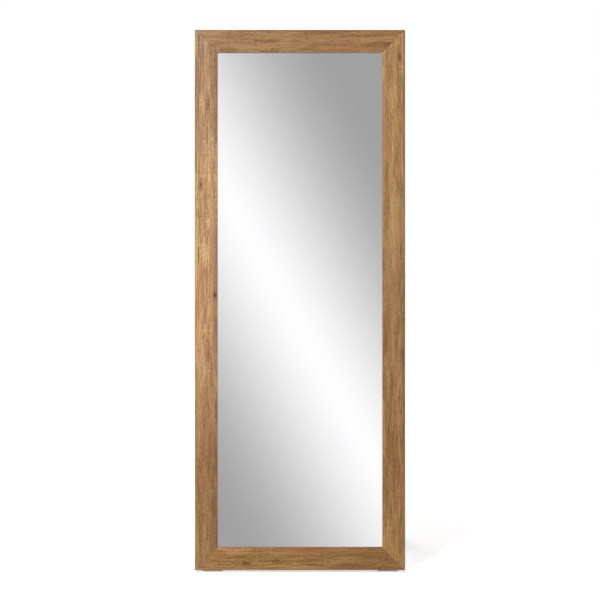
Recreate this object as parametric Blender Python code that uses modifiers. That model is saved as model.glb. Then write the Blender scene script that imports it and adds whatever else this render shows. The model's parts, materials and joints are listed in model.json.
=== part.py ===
"""A full-length floor mirror that stands on a fold-out easel frame.

Everything is in metres with +Z up, and the mirror faces -Y. Most pieces are placed in the
panel's own coordinates: X across it, Y behind the back of the wood, Z up from its rear
bottom edge. The panel leans back by LEAN. The easel has its own coordinates, with the
origin on its pivot line and the legs hanging down -Z, and so has each stay arm.
"""

import math

import bmesh
import bpy
from mathutils import Matrix

# Panel
VISIBLE_WIDTH = 0.508  # glass seen inside the frame
VISIBLE_HEIGHT = 1.524
FACE_WIDTH = 0.070  # moulding seen from the front
FRAME_DEPTH = 0.025  # back of the wood to the highest line of the face
LEAN = math.radians(9)
EDGE_LIFT = 0.0025  # floor to the rear bottom edge of the wood
GAP = 0.0003  # left between solids that touch
WELD = 0.000001  # points nearer than this become one

# Section of the moulding
RABBET_WIDTH = 0.007
SIGHT_DROP = 0.0075  # face down to the edge beside the glass
LIP_WIDTH = 0.009
LIP_DROP = 0.0025  # face down to the top of the sloping lip
LIP_BOW = 0.0006
LIP_SHOULDER = 0.0005  # top of the lip to the start of the face
CROWN_RISE = 0.0011
QUIRK_WIDTH = 0.0012  # the fine groove inside the outer bead
QUIRK_DEPTH = 0.0009
BEAD_WIDTH = 0.012
EDGE_ROUND = 0.0085
BACK_EASE = 0.001

# What lies in the rabbet
GLASS_THICKNESS = 0.004
GLASS_PLAY = 0.001  # glass edge to rabbet
CUSHION_THICKNESS = 0.001
BOARD_THICKNESS = 0.003
BOARD_PLAY = 0.002

# Steel sheet and screws
SHEET = 0.002
SCREW_RADIUS = 0.002
SCREW_LENGTH = 0.016
SCREW_HEAD_RADIUS = 0.004
SCREW_HEAD_HEIGHT = 0.0024
SCREW_TIP = 1.5  # length of a screw's tip, in shank radii
SCREW_SIDES = 12
ROUND_SIDES = 16

# Corner braces and backing clips
BRACE_LENGTH = 0.080
BRACE_WIDTH = 0.016
BRACE_CORNER = 0.003
BRACE_HOLE_INSET = 0.010  # centre of an end hole to the brace's end
BRACE_HOLE_PITCH = 0.030
CLIP_LENGTH = 0.036
CLIP_WIDTH = 0.014
CLIP_THICKNESS = 0.0015
CLIP_SCREW_INSET = 0.010  # rabbet edge to screw
CLIP_FROM_END = 0.332  # outer end of a stile to the clip nearest it

# Hangers
HANGER_DROP = 0.214  # top edge to the ring's bar
STRAP_WIDTH = 0.014
STRAP_LENGTH = 0.036
STRAP_THICKNESS = 0.0024
STRAP_CURL = 0.0012  # wall around the ring's bar
STRAP_SCREW_DROP = 0.028  # bar to screw
RING_WIRE = 0.003
RING_WIDTH = 0.024
RING_HEIGHT = 0.019
RING_CORNER = 0.0025
RING_PLAY = 0.0004

# Floor pads
PAD_LENGTH = 0.060
PAD_DEPTH = 0.014
PAD_REAR_INSET = 0.0015
PAD_END_INSET = 0.025

# Easel
SPREAD = math.radians(18)  # panel to leg when the easel is open
PIVOT_DROP = 0.464  # top edge of the panel to the pivot line
PIVOT_DEPTH = 0.013  # back of the wood to the pivot line
LEG_WIDTH = 0.022
LEG_THICKNESS = 0.018
LEG_EASE = 0.0015
FOOT_HEIGHT = 0.026
FOOT_WALL = 0.002
FOOT_SOLE = 0.005
BAR_WIDTH = 0.050
BAR_THICKNESS = 0.012
BAR_EASE = 0.001
BAR_TENON = 0.011
BAR_SHOULDER = 0.003
UPPER_BAR_DROP = 0.130  # pivot line to the middle of the bar
LOWER_BAR_HEIGHT = 0.080  # sole to the middle of the bar

# Pivots
BESIDE_LEG = 0.0015  # leg to the bracket's ear and to the stay arm
BOLT_RADIUS = 0.003
BOLT_HEAD_RADIUS = 0.0055
BOLT_HEAD_HEIGHT = 0.0033
BOLT_PROUD = 0.0015
BOLT_CHAMFER = 0.0006
NUT_ACROSS_FLATS = 0.010
NUT_HEIGHT = 0.005
WASHER_RADIUS = 0.0065
WASHER_THICKNESS = 0.0009
EAR_RADIUS = 0.010
BRACKET_FLANGE = 0.0245
BRACKET_HEIGHT = 0.048
BRACKET_SCREW_PITCH = 0.028

# Stays
STAY_REACH = 0.400  # easel pivot to stay pivot, and stay pivot to slot stud
STAY_WIDTH = 0.012
STAY_SCREW_RADIUS = 0.0025
STAY_SCREW_DEPTH = 0.014
STUD_RADIUS = 0.003
STUD_HEAD_RADIUS = 0.0052
STUD_HEAD_HEIGHT = 0.0022
TRACK_TO_STAY = 0.002
TRACK_FLANGE = 0.0205
TRACK_INSET = 0.003  # rabbet to the flange
TRACK_WEB = 0.0075  # slot's middle to the web's free edge
TRACK_END = 0.021  # slot's end to the track's end
TRACK_SCREW_INSET = 0.008

# Worked out from the above
OUTER_WIDTH = VISIBLE_WIDTH + 2 * FACE_WIDTH
OUTER_HEIGHT = VISIBLE_HEIGHT + 2 * FACE_WIDTH
RABBET_DEPTH = GLASS_THICKNESS + CUSHION_THICKNESS + BOARD_THICKNESS + 3 * GAP
BACK_MIDDLE = (RABBET_WIDTH + FACE_WIDTH) / 2  # sight edge to the middle of the flat back
PIVOT_HEIGHT = OUTER_HEIGHT - PIVOT_DROP
LEG_LEAN = SPREAD - LEAN
PIVOT_ABOVE_FLOOR = EDGE_LIFT + PIVOT_HEIGHT * math.cos(LEAN) - PIVOT_DEPTH * math.sin(LEAN)
LEG_LENGTH = PIVOT_ABOVE_FLOOR / math.cos(LEG_LEAN)  # pivot to sole, along the leg
WEB_X = VISIBLE_WIDTH / 2 + RABBET_WIDTH + TRACK_INSET + TRACK_FLANGE - SHEET / 2
STAY_X = WEB_X + SHEET + TRACK_TO_STAY
LEG_INNER_X = STAY_X + SHEET / 2 + BESIDE_LEG
LEG_MIDDLE_X = LEG_INNER_X + LEG_WIDTH / 2
SLOT_OPEN = 2 * STAY_REACH * math.cos(SPREAD)  # pivot line down to the stud, easel open
SLOT_FOLDED = 2 * STAY_REACH
SIDES = (("left", -1), ("right", 1))

# Finishes: colour, roughness, metallic
OAK = ((0.36, 0.20, 0.09), 0.45, 0.0)
PINE = ((0.42, 0.25, 0.12), 0.55, 0.0)
SILVERED = ((0.90, 0.91, 0.92), 0.03, 1.0)
FOAM = ((0.75, 0.75, 0.74), 0.9, 0.0)
HARDBOARD = ((0.16, 0.09, 0.05), 0.75, 0.0)
ZINC = ((0.55, 0.56, 0.58), 0.35, 1.0)
RUBBER = ((0.03, 0.03, 0.03), 0.8, 0.0)


def clear_scene():
    for old in list(bpy.data.objects):
        bpy.data.objects.remove(old, do_unlink=True)
    for old in list(bpy.data.collections):
        bpy.data.collections.remove(old)


def new_collection(name):
    collection = bpy.data.collections.new(name)
    bpy.context.scene.collection.children.link(collection)
    return collection


def new_empty(name, parent=None, location=(0, 0, 0), tilt=0.0):
    """An empty turned by tilt about X, on which other pieces are placed."""
    empty = bpy.data.objects.new(name, None)
    empty.empty_display_size = 0.05
    empty.location = location
    empty.rotation_euler = (tilt, 0, 0)
    empty.parent = parent
    bpy.data.collections["full_length_mirror"].objects.link(empty)
    return empty


def new_material(name, finish):
    colour, roughness, metallic = finish
    material = bpy.data.materials.new(name)
    material.use_nodes = True
    shader = material.node_tree.nodes["Principled BSDF"]
    shader.inputs["Base Color"].default_value = (*colour, 1)
    shader.inputs["Roughness"].default_value = roughness
    shader.inputs["Metallic"].default_value = metallic
    material.diffuse_color = (*colour, 1)
    return material


def new_piece(name, mesh, parent, finish, location=(0, 0, 0), rotation=(0, 0, 0)):
    """A named sub-part with a material of its own."""
    piece = bpy.data.objects.new(name, mesh)
    piece.location = location
    piece.rotation_euler = rotation
    piece.parent = parent
    mesh.materials.clear()
    mesh.materials.append(new_material(name, finish))
    bpy.data.collections["full_length_mirror"].objects.link(piece)
    return piece


def new_guide(name, mesh, parent, location=(0, 0, 0)):
    """A cutter, or a shape that is joined to a sub-part."""
    guide = bpy.data.objects.new(name, mesh)
    guide.location = location
    guide.parent = parent
    guide.hide_render = True
    guide.display_type = "WIRE"
    bpy.data.collections["cutters"].objects.link(guide)
    return guide


def combine(piece, guide, operation="DIFFERENCE"):
    boolean = piece.modifiers.new(guide.name, "BOOLEAN")
    boolean.operation = operation
    boolean.solver = "EXACT"
    boolean.object = guide


def mesh_from_bmesh(name, shape):
    mesh = bpy.data.meshes.new(name)
    bmesh.ops.recalc_face_normals(shape, faces=shape.faces)
    shape.to_mesh(mesh)
    shape.free()
    return mesh


def round_off(mesh, angle=math.radians(35)):
    mesh.shade_smooth()
    mesh.set_sharp_from_angle(angle=angle)
    return mesh


def arc(centre, radii, start, end, steps):
    """Points along an arc or a stretch of an ellipse, angles in degrees."""
    points = []
    for step in range(steps + 1):
        angle = math.radians(start + (end - start) * step / steps)
        points.append((centre[0] + radii[0] * math.cos(angle), centre[1] + radii[1] * math.sin(angle)))
    return points


def circle(centre, radius, sides=ROUND_SIDES):
    return arc(centre, (radius, radius), 0, 360, sides)[:-1]


def bowed(start, end, rise, steps):
    """Points along a shallow bow that rises from the straight line between two points."""
    points = []
    for step in range(steps + 1):
        share = step / steps
        lift = 4 * rise * share * (1 - share)
        across = start[0] + (end[0] - start[0]) * share
        points.append((across, start[1] + (end[1] - start[1]) * share + lift))
    return points


def extruded(name, outlines, thickness, turn=Matrix.Identity(4)):
    """A flat outline, with any holes as further outlines, given its thickness along Z."""
    curve = bpy.data.curves.new(name, "CURVE")
    curve.dimensions = "2D"
    curve.fill_mode = "BOTH"
    curve.extrude = thickness / 2
    for outline in outlines:
        spline = curve.splines.new("POLY")
        spline.points.add(len(outline) - 1)
        for point, (across, up) in zip(spline.points, outline):
            point.co = (across, up, 0, 1)
        spline.use_cyclic_u = True
    holder = bpy.data.objects.new(name, curve)
    bpy.context.scene.collection.objects.link(holder)
    mesh = bpy.data.meshes.new_from_object(holder.evaluated_get(bpy.context.evaluated_depsgraph_get()))
    bpy.data.objects.remove(holder, do_unlink=True)
    shape = bmesh.new()
    shape.from_mesh(mesh)
    bpy.data.meshes.remove(mesh)
    bmesh.ops.remove_doubles(shape, verts=shape.verts, dist=WELD)
    bmesh.ops.transform(shape, matrix=turn, verts=shape.verts)
    return mesh_from_bmesh(name, shape)


# Turns an outline in X and Y so that it lies in the side view, or on the panel's back.
SIDE_VIEW = Matrix(((0, 0, 1, 0), (1, 0, 0, 0), (0, 1, 0, 0), (0, 0, 0, 1)))
BACK_VIEW = Matrix.Rotation(math.pi / 2, 4, "X")


def add_box(shape, low, high):
    middle = [(a + b) / 2 for a, b in zip(low, high)]
    size = [abs(b - a) for a, b in zip(low, high)]
    bmesh.ops.create_cube(shape, size=1, matrix=Matrix.Translation(middle) @ Matrix.Diagonal((*size, 1)))


def box(low, high):
    """A box between two opposite corners, as a bmesh."""
    shape = bmesh.new()
    add_box(shape, low, high)
    return shape


def add_cylinder(shape, centre, radius, length, along, sides=ROUND_SIDES):
    turns = {"X": Matrix.Rotation(math.pi / 2, 4, "Y"), "Y": Matrix.Rotation(math.pi / 2, 4, "X")}
    bmesh.ops.create_cone(
        shape,
        cap_ends=True,
        segments=sides,
        radius1=radius,
        radius2=radius,
        depth=length,
        matrix=Matrix.Translation(centre) @ turns[along],
    )


def add_tenon(shape, end_face, shoulder, length):
    """Sets a face in by its shoulder and draws the rest of it out."""
    outward = end_face.normal.copy()
    bmesh.ops.inset_individual(shape, faces=[end_face], thickness=shoulder, use_even_offset=True)
    drawn = bmesh.ops.extrude_discrete_faces(shape, faces=[end_face])
    for face in drawn["faces"]:
        bmesh.ops.translate(shape, vec=outward * length, verts=face.verts)


def turned(name, profile, parent, finish, location, rotation, sides=ROUND_SIDES):
    """A turned piece about its own Z, from a profile that runs down its outer side."""
    mesh = bpy.data.meshes.new(name)
    points = [(radius, 0, up) for radius, up in profile]
    mesh.from_pydata(points, [(i, i + 1) for i in range(len(points) - 1)], [])
    piece = new_piece(name, mesh, parent, finish, location, rotation)
    screw = piece.modifiers.new("turn", "SCREW")
    screw.steps = sides
    screw.render_steps = sides
    screw.use_merge_vertices = True
    screw.merge_threshold = WELD
    return piece


def screw_profile(radius, length, head_radius, head_height):
    """A domed head above a shank that ends in a blunt point, head down to its point."""
    dome = arc((0, 0), (head_radius, head_height), 90, 0, 4)
    tip = length - SCREW_TIP * radius
    return dome + [(radius, 0), (radius, -tip), (radius / 3, -length), (0, -length)]


def back_screw(name, x, z, seat, parent):
    """A wood screw driven into the back of the panel, with its head behind seat."""
    profile = screw_profile(SCREW_RADIUS, SCREW_LENGTH, SCREW_HEAD_RADIUS, SCREW_HEAD_HEIGHT)
    turned(name, profile, parent, ZINC, (x, seat + GAP, z), (-math.pi / 2, 0, 0), SCREW_SIDES)


def drill_back(piece, places, parent):
    """Holes for wood screws in a rail, at places given as X and Z on the panel."""
    shape = bmesh.new()
    for x, z in places:
        add_cylinder(shape, (x, 0, z), SCREW_RADIUS + GAP, 2 * (SCREW_LENGTH + GAP), "Y", SCREW_SIDES)
    combine(piece, new_guide(piece.name + "_screw_holes", mesh_from_bmesh("holes", shape), parent))


# Moulding


def moulding_section():
    """The section as distance out from the sight edge and height above the wood's back."""
    face = FRAME_DEPTH - CROWN_RISE
    quirk = FACE_WIDTH - BEAD_WIDTH
    rounding = (EDGE_ROUND, EDGE_ROUND)
    round_centre = (FACE_WIDTH - EDGE_ROUND, face - EDGE_ROUND)
    section = [(0, RABBET_DEPTH)]
    section += bowed((0, FRAME_DEPTH - SIGHT_DROP), (LIP_WIDTH, FRAME_DEPTH - LIP_DROP), LIP_BOW, 5)
    section += bowed((LIP_WIDTH + LIP_SHOULDER, face), (quirk - QUIRK_WIDTH, face), CROWN_RISE, 12)
    section += bowed((quirk - QUIRK_WIDTH / 2, face - QUIRK_DEPTH), (quirk, face - QUIRK_DEPTH), 0, 1)
    section += [(quirk + QUIRK_WIDTH / 2, face)]
    section += arc(round_centre, rounding, 90, 0, 8)
    section += [(FACE_WIDTH, BACK_EASE), (FACE_WIDTH - BACK_EASE, 0)]
    section += [(RABBET_WIDTH, 0), (RABBET_WIDTH, RABBET_DEPTH)]
    return section


def rail(name, half_across, half_along, turn, panel):
    """A mitred rail, along X until it is turned about the middle of the panel."""
    outwards = Matrix(((0, 0, 1, 0), (0, -1, 0, 0), (1, 0, 0, 0), (0, 0, 0, 1)))
    mesh = extruded(name, [moulding_section()], 2 * half_along, outwards)
    trim = GAP / 2 * math.sqrt(2)
    for vertex in mesh.vertices:
        out = vertex.co.z
        vertex.co.x = math.copysign(half_along + out - trim, vertex.co.x)
        vertex.co.z = half_across + out
    round_off(mesh, math.radians(25))
    return new_piece(name, mesh, panel, OAK, (0, 0, OUTER_HEIGHT / 2), (0, turn, 0))


def make_rails(panel, screw_places):
    width, height = VISIBLE_WIDTH / 2, VISIBLE_HEIGHT / 2
    rails = {
        "top": rail("top_rail", height, width, 0, panel),
        "bottom": rail("bottom_rail", height, width, math.pi, panel),
        "left": rail("left_stile", width, height, -math.pi / 2, panel),
        "right": rail("right_stile", width, height, math.pi / 2, panel),
    }
    for side, piece in rails.items():
        drill_back(piece, screw_places[side], panel)


def sheet_in_rabbet(name, play, front, thickness, panel, finish):
    """A flat sheet behind the rabbet's ledge. Front is its distance behind the ledge."""
    half_width = VISIBLE_WIDTH / 2 + RABBET_WIDTH - play
    half_height = VISIBLE_HEIGHT / 2 + RABBET_WIDTH - play
    y = front - RABBET_DEPTH
    shape = box((-half_width, y, -half_height), (half_width, y + thickness, half_height))
    new_piece(name, mesh_from_bmesh(name, shape), panel, finish, (0, 0, OUTER_HEIGHT / 2))


def make_rabbet_stack(panel):
    cushion_front = GAP + GLASS_THICKNESS + GAP
    board_front = cushion_front + CUSHION_THICKNESS + GAP
    sheet_in_rabbet("mirror_glass", GLASS_PLAY, GAP, GLASS_THICKNESS, panel, SILVERED)
    sheet_in_rabbet("foam_cushion", BOARD_PLAY, cushion_front, CUSHION_THICKNESS, panel, FOAM)
    sheet_in_rabbet("backing_board", BOARD_PLAY, board_front, BOARD_THICKNESS, panel, HARDBOARD)


# Fittings on the back


def brace_outline():
    """An L whose two arms run along +X and +Y from the middle of its corner."""
    half = BRACE_WIDTH / 2
    end = BRACE_LENGTH - half
    r = BRACE_CORNER
    outline = arc((r - half, r - half), (r, r), 180, 270, 3)
    outline += arc((end - r, r - half), (r, r), -90, 0, 3)
    outline += arc((end - r, half - r), (r, r), 0, 90, 3)
    outline += [(half, half)]
    outline += arc((half - r, end - r), (r, r), 0, 90, 3)
    outline += arc((r - half, end - r), (r, r), 90, 180, 3)
    return outline


def make_corner_braces(panel):
    far = BRACE_LENGTH - BRACE_WIDTH / 2 - BRACE_HOLE_INSET
    near = far - BRACE_HOLE_PITCH
    holes = [(far, 0), (near, 0), (0, far), (0, near)]
    half_across = VISIBLE_WIDTH / 2 + BACK_MIDDLE
    half_up = VISIBLE_HEIGHT / 2 + BACK_MIDDLE
    y = GAP + SHEET / 2
    for side, across in SIDES:
        for level, up in (("bottom", -1), ("top", 1)):
            outlines = [[(-across * a, -up * b) for a, b in brace_outline()]]
            outlines += [circle((-across * a, -up * b), SCREW_RADIUS + GAP, SCREW_SIDES) for a, b in holes]
            name = f"corner_brace_{level}_{side}"
            mesh = extruded(name, outlines, SHEET, BACK_VIEW)
            place = (across * half_across, y, OUTER_HEIGHT / 2 + up * half_up)
            new_piece(name, mesh, panel, ZINC, place)


def clip_places():
    """Name, X, Z and the way that each backing clip's screw lies from the board."""
    places = []
    screw_out = RABBET_WIDTH + CLIP_SCREW_INSET
    x = VISIBLE_WIDTH / 2 + screw_out
    for side, across in SIDES:
        places.append((f"{side}_lower", side, across * x, CLIP_FROM_END, (across, 0)))
        places.append((f"{side}_upper", side, across * x, OUTER_HEIGHT - CLIP_FROM_END, (across, 0)))
    places.append(("bottom", "bottom", 0, FACE_WIDTH - screw_out, (0, -1)))
    places.append(("top", "top", 0, OUTER_HEIGHT - FACE_WIDTH + screw_out, (0, 1)))
    return places


def make_backing_clips(panel):
    half = CLIP_WIDTH / 2
    reach = CLIP_LENGTH - 2 * half
    outline = arc((0, 0), (half, half), -90, 90, 8) + arc((-reach, 0), (half, half), 90, 270, 8)
    for place, _, x, z, (across, up) in clip_places():
        name = "backing_clip_" + place
        turned_outlines = []
        for points in (outline, circle((0, 0), SCREW_RADIUS + GAP, SCREW_SIDES)):
            turned_outlines.append([(a * across - b * up, a * up + b * across) for a, b in points])
        mesh = extruded(name, turned_outlines, CLIP_THICKNESS, BACK_VIEW)
        new_piece(name, mesh, panel, ZINC, (x, GAP + CLIP_THICKNESS / 2, z))
        back_screw(name + "_screw", x, z, GAP + CLIP_THICKNESS, panel)


def hanger_place(across):
    """X and Z of a hanger's pivot on the panel."""
    return across * (VISIBLE_WIDTH / 2 + BACK_MIDDLE), OUTER_HEIGHT - HANGER_DROP


def strap_outlines():
    """Side view of the strap: a plate that rises into a curl around the ring's bar."""
    bore = RING_WIRE / 2 + RING_PLAY
    curl = bore + STRAP_CURL
    plate_top = STRAP_THICKNESS - curl
    outline = [(-curl, -STRAP_LENGTH), (plate_top, -STRAP_LENGTH)]
    outline += [(plate_top, -curl - STRAP_THICKNESS)]
    outline += arc((0, 0), (curl, curl), -45, 180, 12)
    return [outline, circle((0, 0), bore)]


def ring_path():
    """A closed D, with its straight bar along X through the origin."""
    half = RING_WIDTH / 2
    corner = (RING_CORNER, RING_CORNER)
    path = arc((half - RING_CORNER, -RING_CORNER), corner, 90, 0, 4)
    path += arc((0, -RING_CORNER), (half, RING_HEIGHT - RING_CORNER), 0, -180, 16)[1:]
    path += arc((RING_CORNER - half, -RING_CORNER), corner, 180, 90, 4)[1:]
    return path


def make_ring(name, pivot):
    curve = bpy.data.curves.new(name, "CURVE")
    curve.dimensions = "3D"
    curve.bevel_depth = RING_WIRE / 2
    curve.bevel_resolution = 2
    spline = curve.splines.new("POLY")
    path = ring_path()
    spline.points.add(len(path) - 1)
    for point, (across, up) in zip(spline.points, path):
        point.co = (across, 0, up, 1)
    spline.use_cyclic_u = True
    spline.use_smooth = True
    curve.materials.append(new_material(name, ZINC))
    ring = bpy.data.objects.new(name, curve)
    ring.parent = pivot
    bpy.data.collections["full_length_mirror"].objects.link(ring)


def make_hangers(panel):
    curl = RING_WIRE / 2 + RING_PLAY + STRAP_CURL
    for side, across in SIDES:
        x, z = hanger_place(across)
        bar = (x, GAP + curl, z)
        name = f"hanger_strap_{side}"
        strap = new_piece(name, extruded(name, strap_outlines(), STRAP_WIDTH, SIDE_VIEW), panel, ZINC, bar)
        drill_back(strap, [(x, z - STRAP_SCREW_DROP)], panel)
        back_screw(name + "_screw", x, z - STRAP_SCREW_DROP, GAP + STRAP_THICKNESS, panel)
        make_ring(f"hanger_ring_{side}", new_empty(f"hanger_pivot_{side}", panel, bar, LEAN))


def make_floor_pads(panel):
    """Wedges that meet the slanting bottom edge and the level floor."""
    front, rear = -PAD_REAR_INSET - PAD_DEPTH, -PAD_REAR_INSET
    outline = [(rear, -GAP), (front, -GAP)]
    outline += [(y, (y * math.sin(LEAN) - EDGE_LIFT) / math.cos(LEAN)) for y in (front, rear)]
    x = OUTER_WIDTH / 2 - PAD_END_INSET - PAD_LENGTH / 2
    for side, across in SIDES:
        name = f"floor_pad_{side}"
        mesh = extruded(name, [outline], PAD_LENGTH, SIDE_VIEW)
        new_piece(name, mesh, panel, RUBBER, (across * x, 0, 0))


# Easel


def bar_heights():
    """Z of the middle of each cross bar in the easel's coordinates."""
    return {"upper": -UPPER_BAR_DROP, "lower": LOWER_BAR_HEIGHT - LEG_LENGTH}


def ease_edges(shape, edges, width):
    bmesh.ops.bevel(shape, geom=edges, offset=width, segments=2, profile=0.5, affect="EDGES")


def leg_shape():
    """A batten with a round top about the pivot and a reduced end for the rubber foot."""
    half = LEG_THICKNESS / 2
    shoulder = FOOT_HEIGHT + GAP - LEG_LENGTH
    outline = arc((0, 0), (half, half), 0, 180, 12) + [(-half, shoulder), (half, shoulder)]
    plain = extruded("leg", [outline], LEG_WIDTH, SIDE_VIEW)
    shape = bmesh.new()
    shape.from_mesh(plain)
    bpy.data.meshes.remove(plain)
    end = min(shape.faces, key=lambda face: face.calc_center_median().z)
    add_tenon(shape, end, FOOT_WALL + GAP, FOOT_HEIGHT - FOOT_SOLE)
    rims = []
    for edge in shape.edges:
        on_side = all(abs(vertex.co.x) > LEG_WIDTH / 2 - GAP for vertex in edge.verts)
        along = abs(edge.verts[0].co.x - edge.verts[1].co.x) < GAP
        above = max(vertex.co.z for vertex in edge.verts) > shoulder + GAP
        if on_side and along and above and edge.calc_face_angle() > math.radians(60):
            rims.append(edge)
    ease_edges(shape, rims, LEG_EASE)
    return shape


def leg_cuts(across):
    """Pivot hole, stay screw hole and the two mortises, in the leg's own coordinates."""
    shape = bmesh.new()
    add_cylinder(shape, (0, 0, 0), BOLT_RADIUS + GAP, 2 * LEG_WIDTH, "X")
    inner = -across * LEG_WIDTH / 2
    bore = 2 * (STAY_SCREW_DEPTH + GAP)
    add_cylinder(shape, (inner, 0, -STAY_REACH), STAY_SCREW_RADIUS + GAP, bore, "X")
    reach = BAR_TENON + GAP
    half_width = BAR_WIDTH / 2 - BAR_SHOULDER + GAP
    y = (LEG_THICKNESS - BAR_THICKNESS) / 2
    half_thickness = BAR_THICKNESS / 2 - BAR_SHOULDER + GAP
    for z in bar_heights().values():
        low = (inner - reach, y - half_thickness, z - half_width)
        high = (inner + reach, y + half_thickness, z + half_width)
        add_box(shape, low, high)
    return mesh_from_bmesh("leg_cuts", shape)


def make_legs(easel):
    for side, across in SIDES:
        name = f"easel_leg_{side}"
        place = (across * LEG_MIDDLE_X, 0, 0)
        leg = new_piece(name, round_off(mesh_from_bmesh(name, leg_shape())), easel, PINE, place)
        combine(leg, new_guide(name + "_cuts", leg_cuts(across), easel, place))


def make_cross_bars(easel):
    half_length = LEG_INNER_X - GAP
    rear = LEG_THICKNESS / 2
    for level, z in bar_heights().items():
        name = f"easel_cross_bar_{level}"
        low = (-half_length, rear - BAR_THICKNESS, -BAR_WIDTH / 2)
        shape = box(low, (half_length, rear, BAR_WIDTH / 2))
        ends = [face for face in shape.faces if abs(face.normal.x) > 0.9]
        for end in ends:
            add_tenon(shape, end, BAR_SHOULDER, BAR_TENON)
        long_edges = [edge for edge in shape.edges if edge.verts[0].co.x * edge.verts[1].co.x < 0]
        ease_edges(shape, long_edges, BAR_EASE)
        new_piece(name, round_off(mesh_from_bmesh(name, shape)), easel, PINE, (0, 0, z))


def make_feet(easel):
    """Rubber cups on the leg ends, with soles that lie flat on the floor."""
    half = LEG_THICKNESS / 2
    outline = [(half, FOOT_HEIGHT), (-half, FOOT_HEIGHT)]
    outline += [(y, -y * math.tan(LEG_LEAN)) for y in (-half, half)]
    inside = (LEG_WIDTH / 2 - FOOT_WALL, half - FOOT_WALL)
    for side, across in SIDES:
        name = f"easel_foot_{side}"
        place = (across * LEG_MIDDLE_X, 0, -LEG_LENGTH)
        mesh = extruded(name, [outline], LEG_WIDTH, SIDE_VIEW)
        foot = new_piece(name, mesh, easel, RUBBER, place)
        cup = box((-inside[0], -inside[1], FOOT_SOLE), (inside[0], inside[1], 2 * FOOT_HEIGHT))
        combine(foot, new_guide(name + "_cup", mesh_from_bmesh("cup", cup), easel, place))


def make_pivot_brackets(panel):
    """Angle brackets whose ears carry the easel's pivot bolts."""
    ear = arc((PIVOT_DEPTH, 0), (EAR_RADIUS, EAR_RADIUS), -90, 90, 10)
    ear += [(GAP, EAR_RADIUS), (GAP, -EAR_RADIUS)]
    outlines = [ear, circle((PIVOT_DEPTH, 0), BOLT_RADIUS + GAP)]
    outer_x = STAY_X + SHEET / 2
    for side, across in SIDES:
        name = f"pivot_bracket_{side}"
        place = (across * STAY_X, 0, PIVOT_HEIGHT)
        bracket = new_piece(name, extruded(name, outlines, SHEET, SIDE_VIEW), panel, ZINC, place)
        half = BRACKET_HEIGHT / 2
        edge = across * outer_x
        flange = box((edge, GAP, -half), (edge - across * BRACKET_FLANGE, GAP + SHEET, half))
        mesh = mesh_from_bmesh("flange", flange)
        combine(bracket, new_guide(name + "_flange", mesh, panel, (0, 0, PIVOT_HEIGHT)), "UNION")
        places = bracket_screw_places(across)
        drill_back(bracket, places, panel)
        for level, (x, z) in zip(("lower", "upper"), places):
            back_screw(f"{name}_screw_{level}", x, z, GAP + SHEET, panel)


def bracket_screw_places(across):
    x = STAY_X + SHEET / 2 - (BRACKET_FLANGE + SHEET) / 2
    return [(across * x, PIVOT_HEIGHT + step * BRACKET_SCREW_PITCH / 2) for step in (-1, 1)]


def make_pivot_bolts(easel):
    ear_inner = STAY_X - SHEET / 2 - GAP
    nut_inner = LEG_MIDDLE_X + LEG_WIDTH / 2 + GAP
    length = nut_inner + NUT_HEIGHT + BOLT_PROUD - ear_inner
    head = arc((0, 0), (BOLT_HEAD_RADIUS, BOLT_HEAD_HEIGHT), 90, 0, 5)
    shank = [(BOLT_RADIUS, 0), (BOLT_RADIUS, BOLT_CHAMFER - length)]
    shank += [(BOLT_RADIUS - BOLT_CHAMFER, -length), (0, -length)]
    corner = NUT_ACROSS_FLATS / 2 / math.cos(math.pi / 6)
    washer_x = STAY_X + SHEET / 2 + BESIDE_LEG / 2
    for side, across in SIDES:
        facing = (0, -across * math.pi / 2, 0)
        turned(f"pivot_bolt_{side}", head + shank, easel, ZINC, (across * ear_inner, 0, 0), facing)
        outlines = [circle((0, 0), corner, 6), circle((0, 0), BOLT_RADIUS + GAP)]
        name = f"pivot_nut_{side}"
        nut_x = across * (nut_inner + NUT_HEIGHT / 2)
        new_piece(name, extruded(name, outlines, NUT_HEIGHT, SIDE_VIEW), easel, ZINC, (nut_x, 0, 0))
        outlines = [circle((0, 0), WASHER_RADIUS), circle((0, 0), BOLT_RADIUS + GAP)]
        name = f"pivot_washer_{side}"
        mesh = extruded(name, outlines, WASHER_THICKNESS, SIDE_VIEW)
        new_piece(name, mesh, easel, ZINC, (across * washer_x, 0, 0))


# Stays


def track_span():
    """Z of the track's lower and upper end, and of its slot's ends, on the panel."""
    clearance = STUD_RADIUS + GAP
    slot_bottom = PIVOT_HEIGHT - SLOT_FOLDED - clearance
    slot_top = PIVOT_HEIGHT - SLOT_OPEN + clearance
    return slot_bottom - TRACK_END, slot_top + TRACK_END, slot_bottom, slot_top


def track_screw_places(across):
    bottom, top, _, _ = track_span()
    x = WEB_X + SHEET / 2 - (TRACK_FLANGE + SHEET) / 2
    return [(across * x, bottom + TRACK_SCREW_INSET), (across * x, top - TRACK_SCREW_INSET)]


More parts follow.
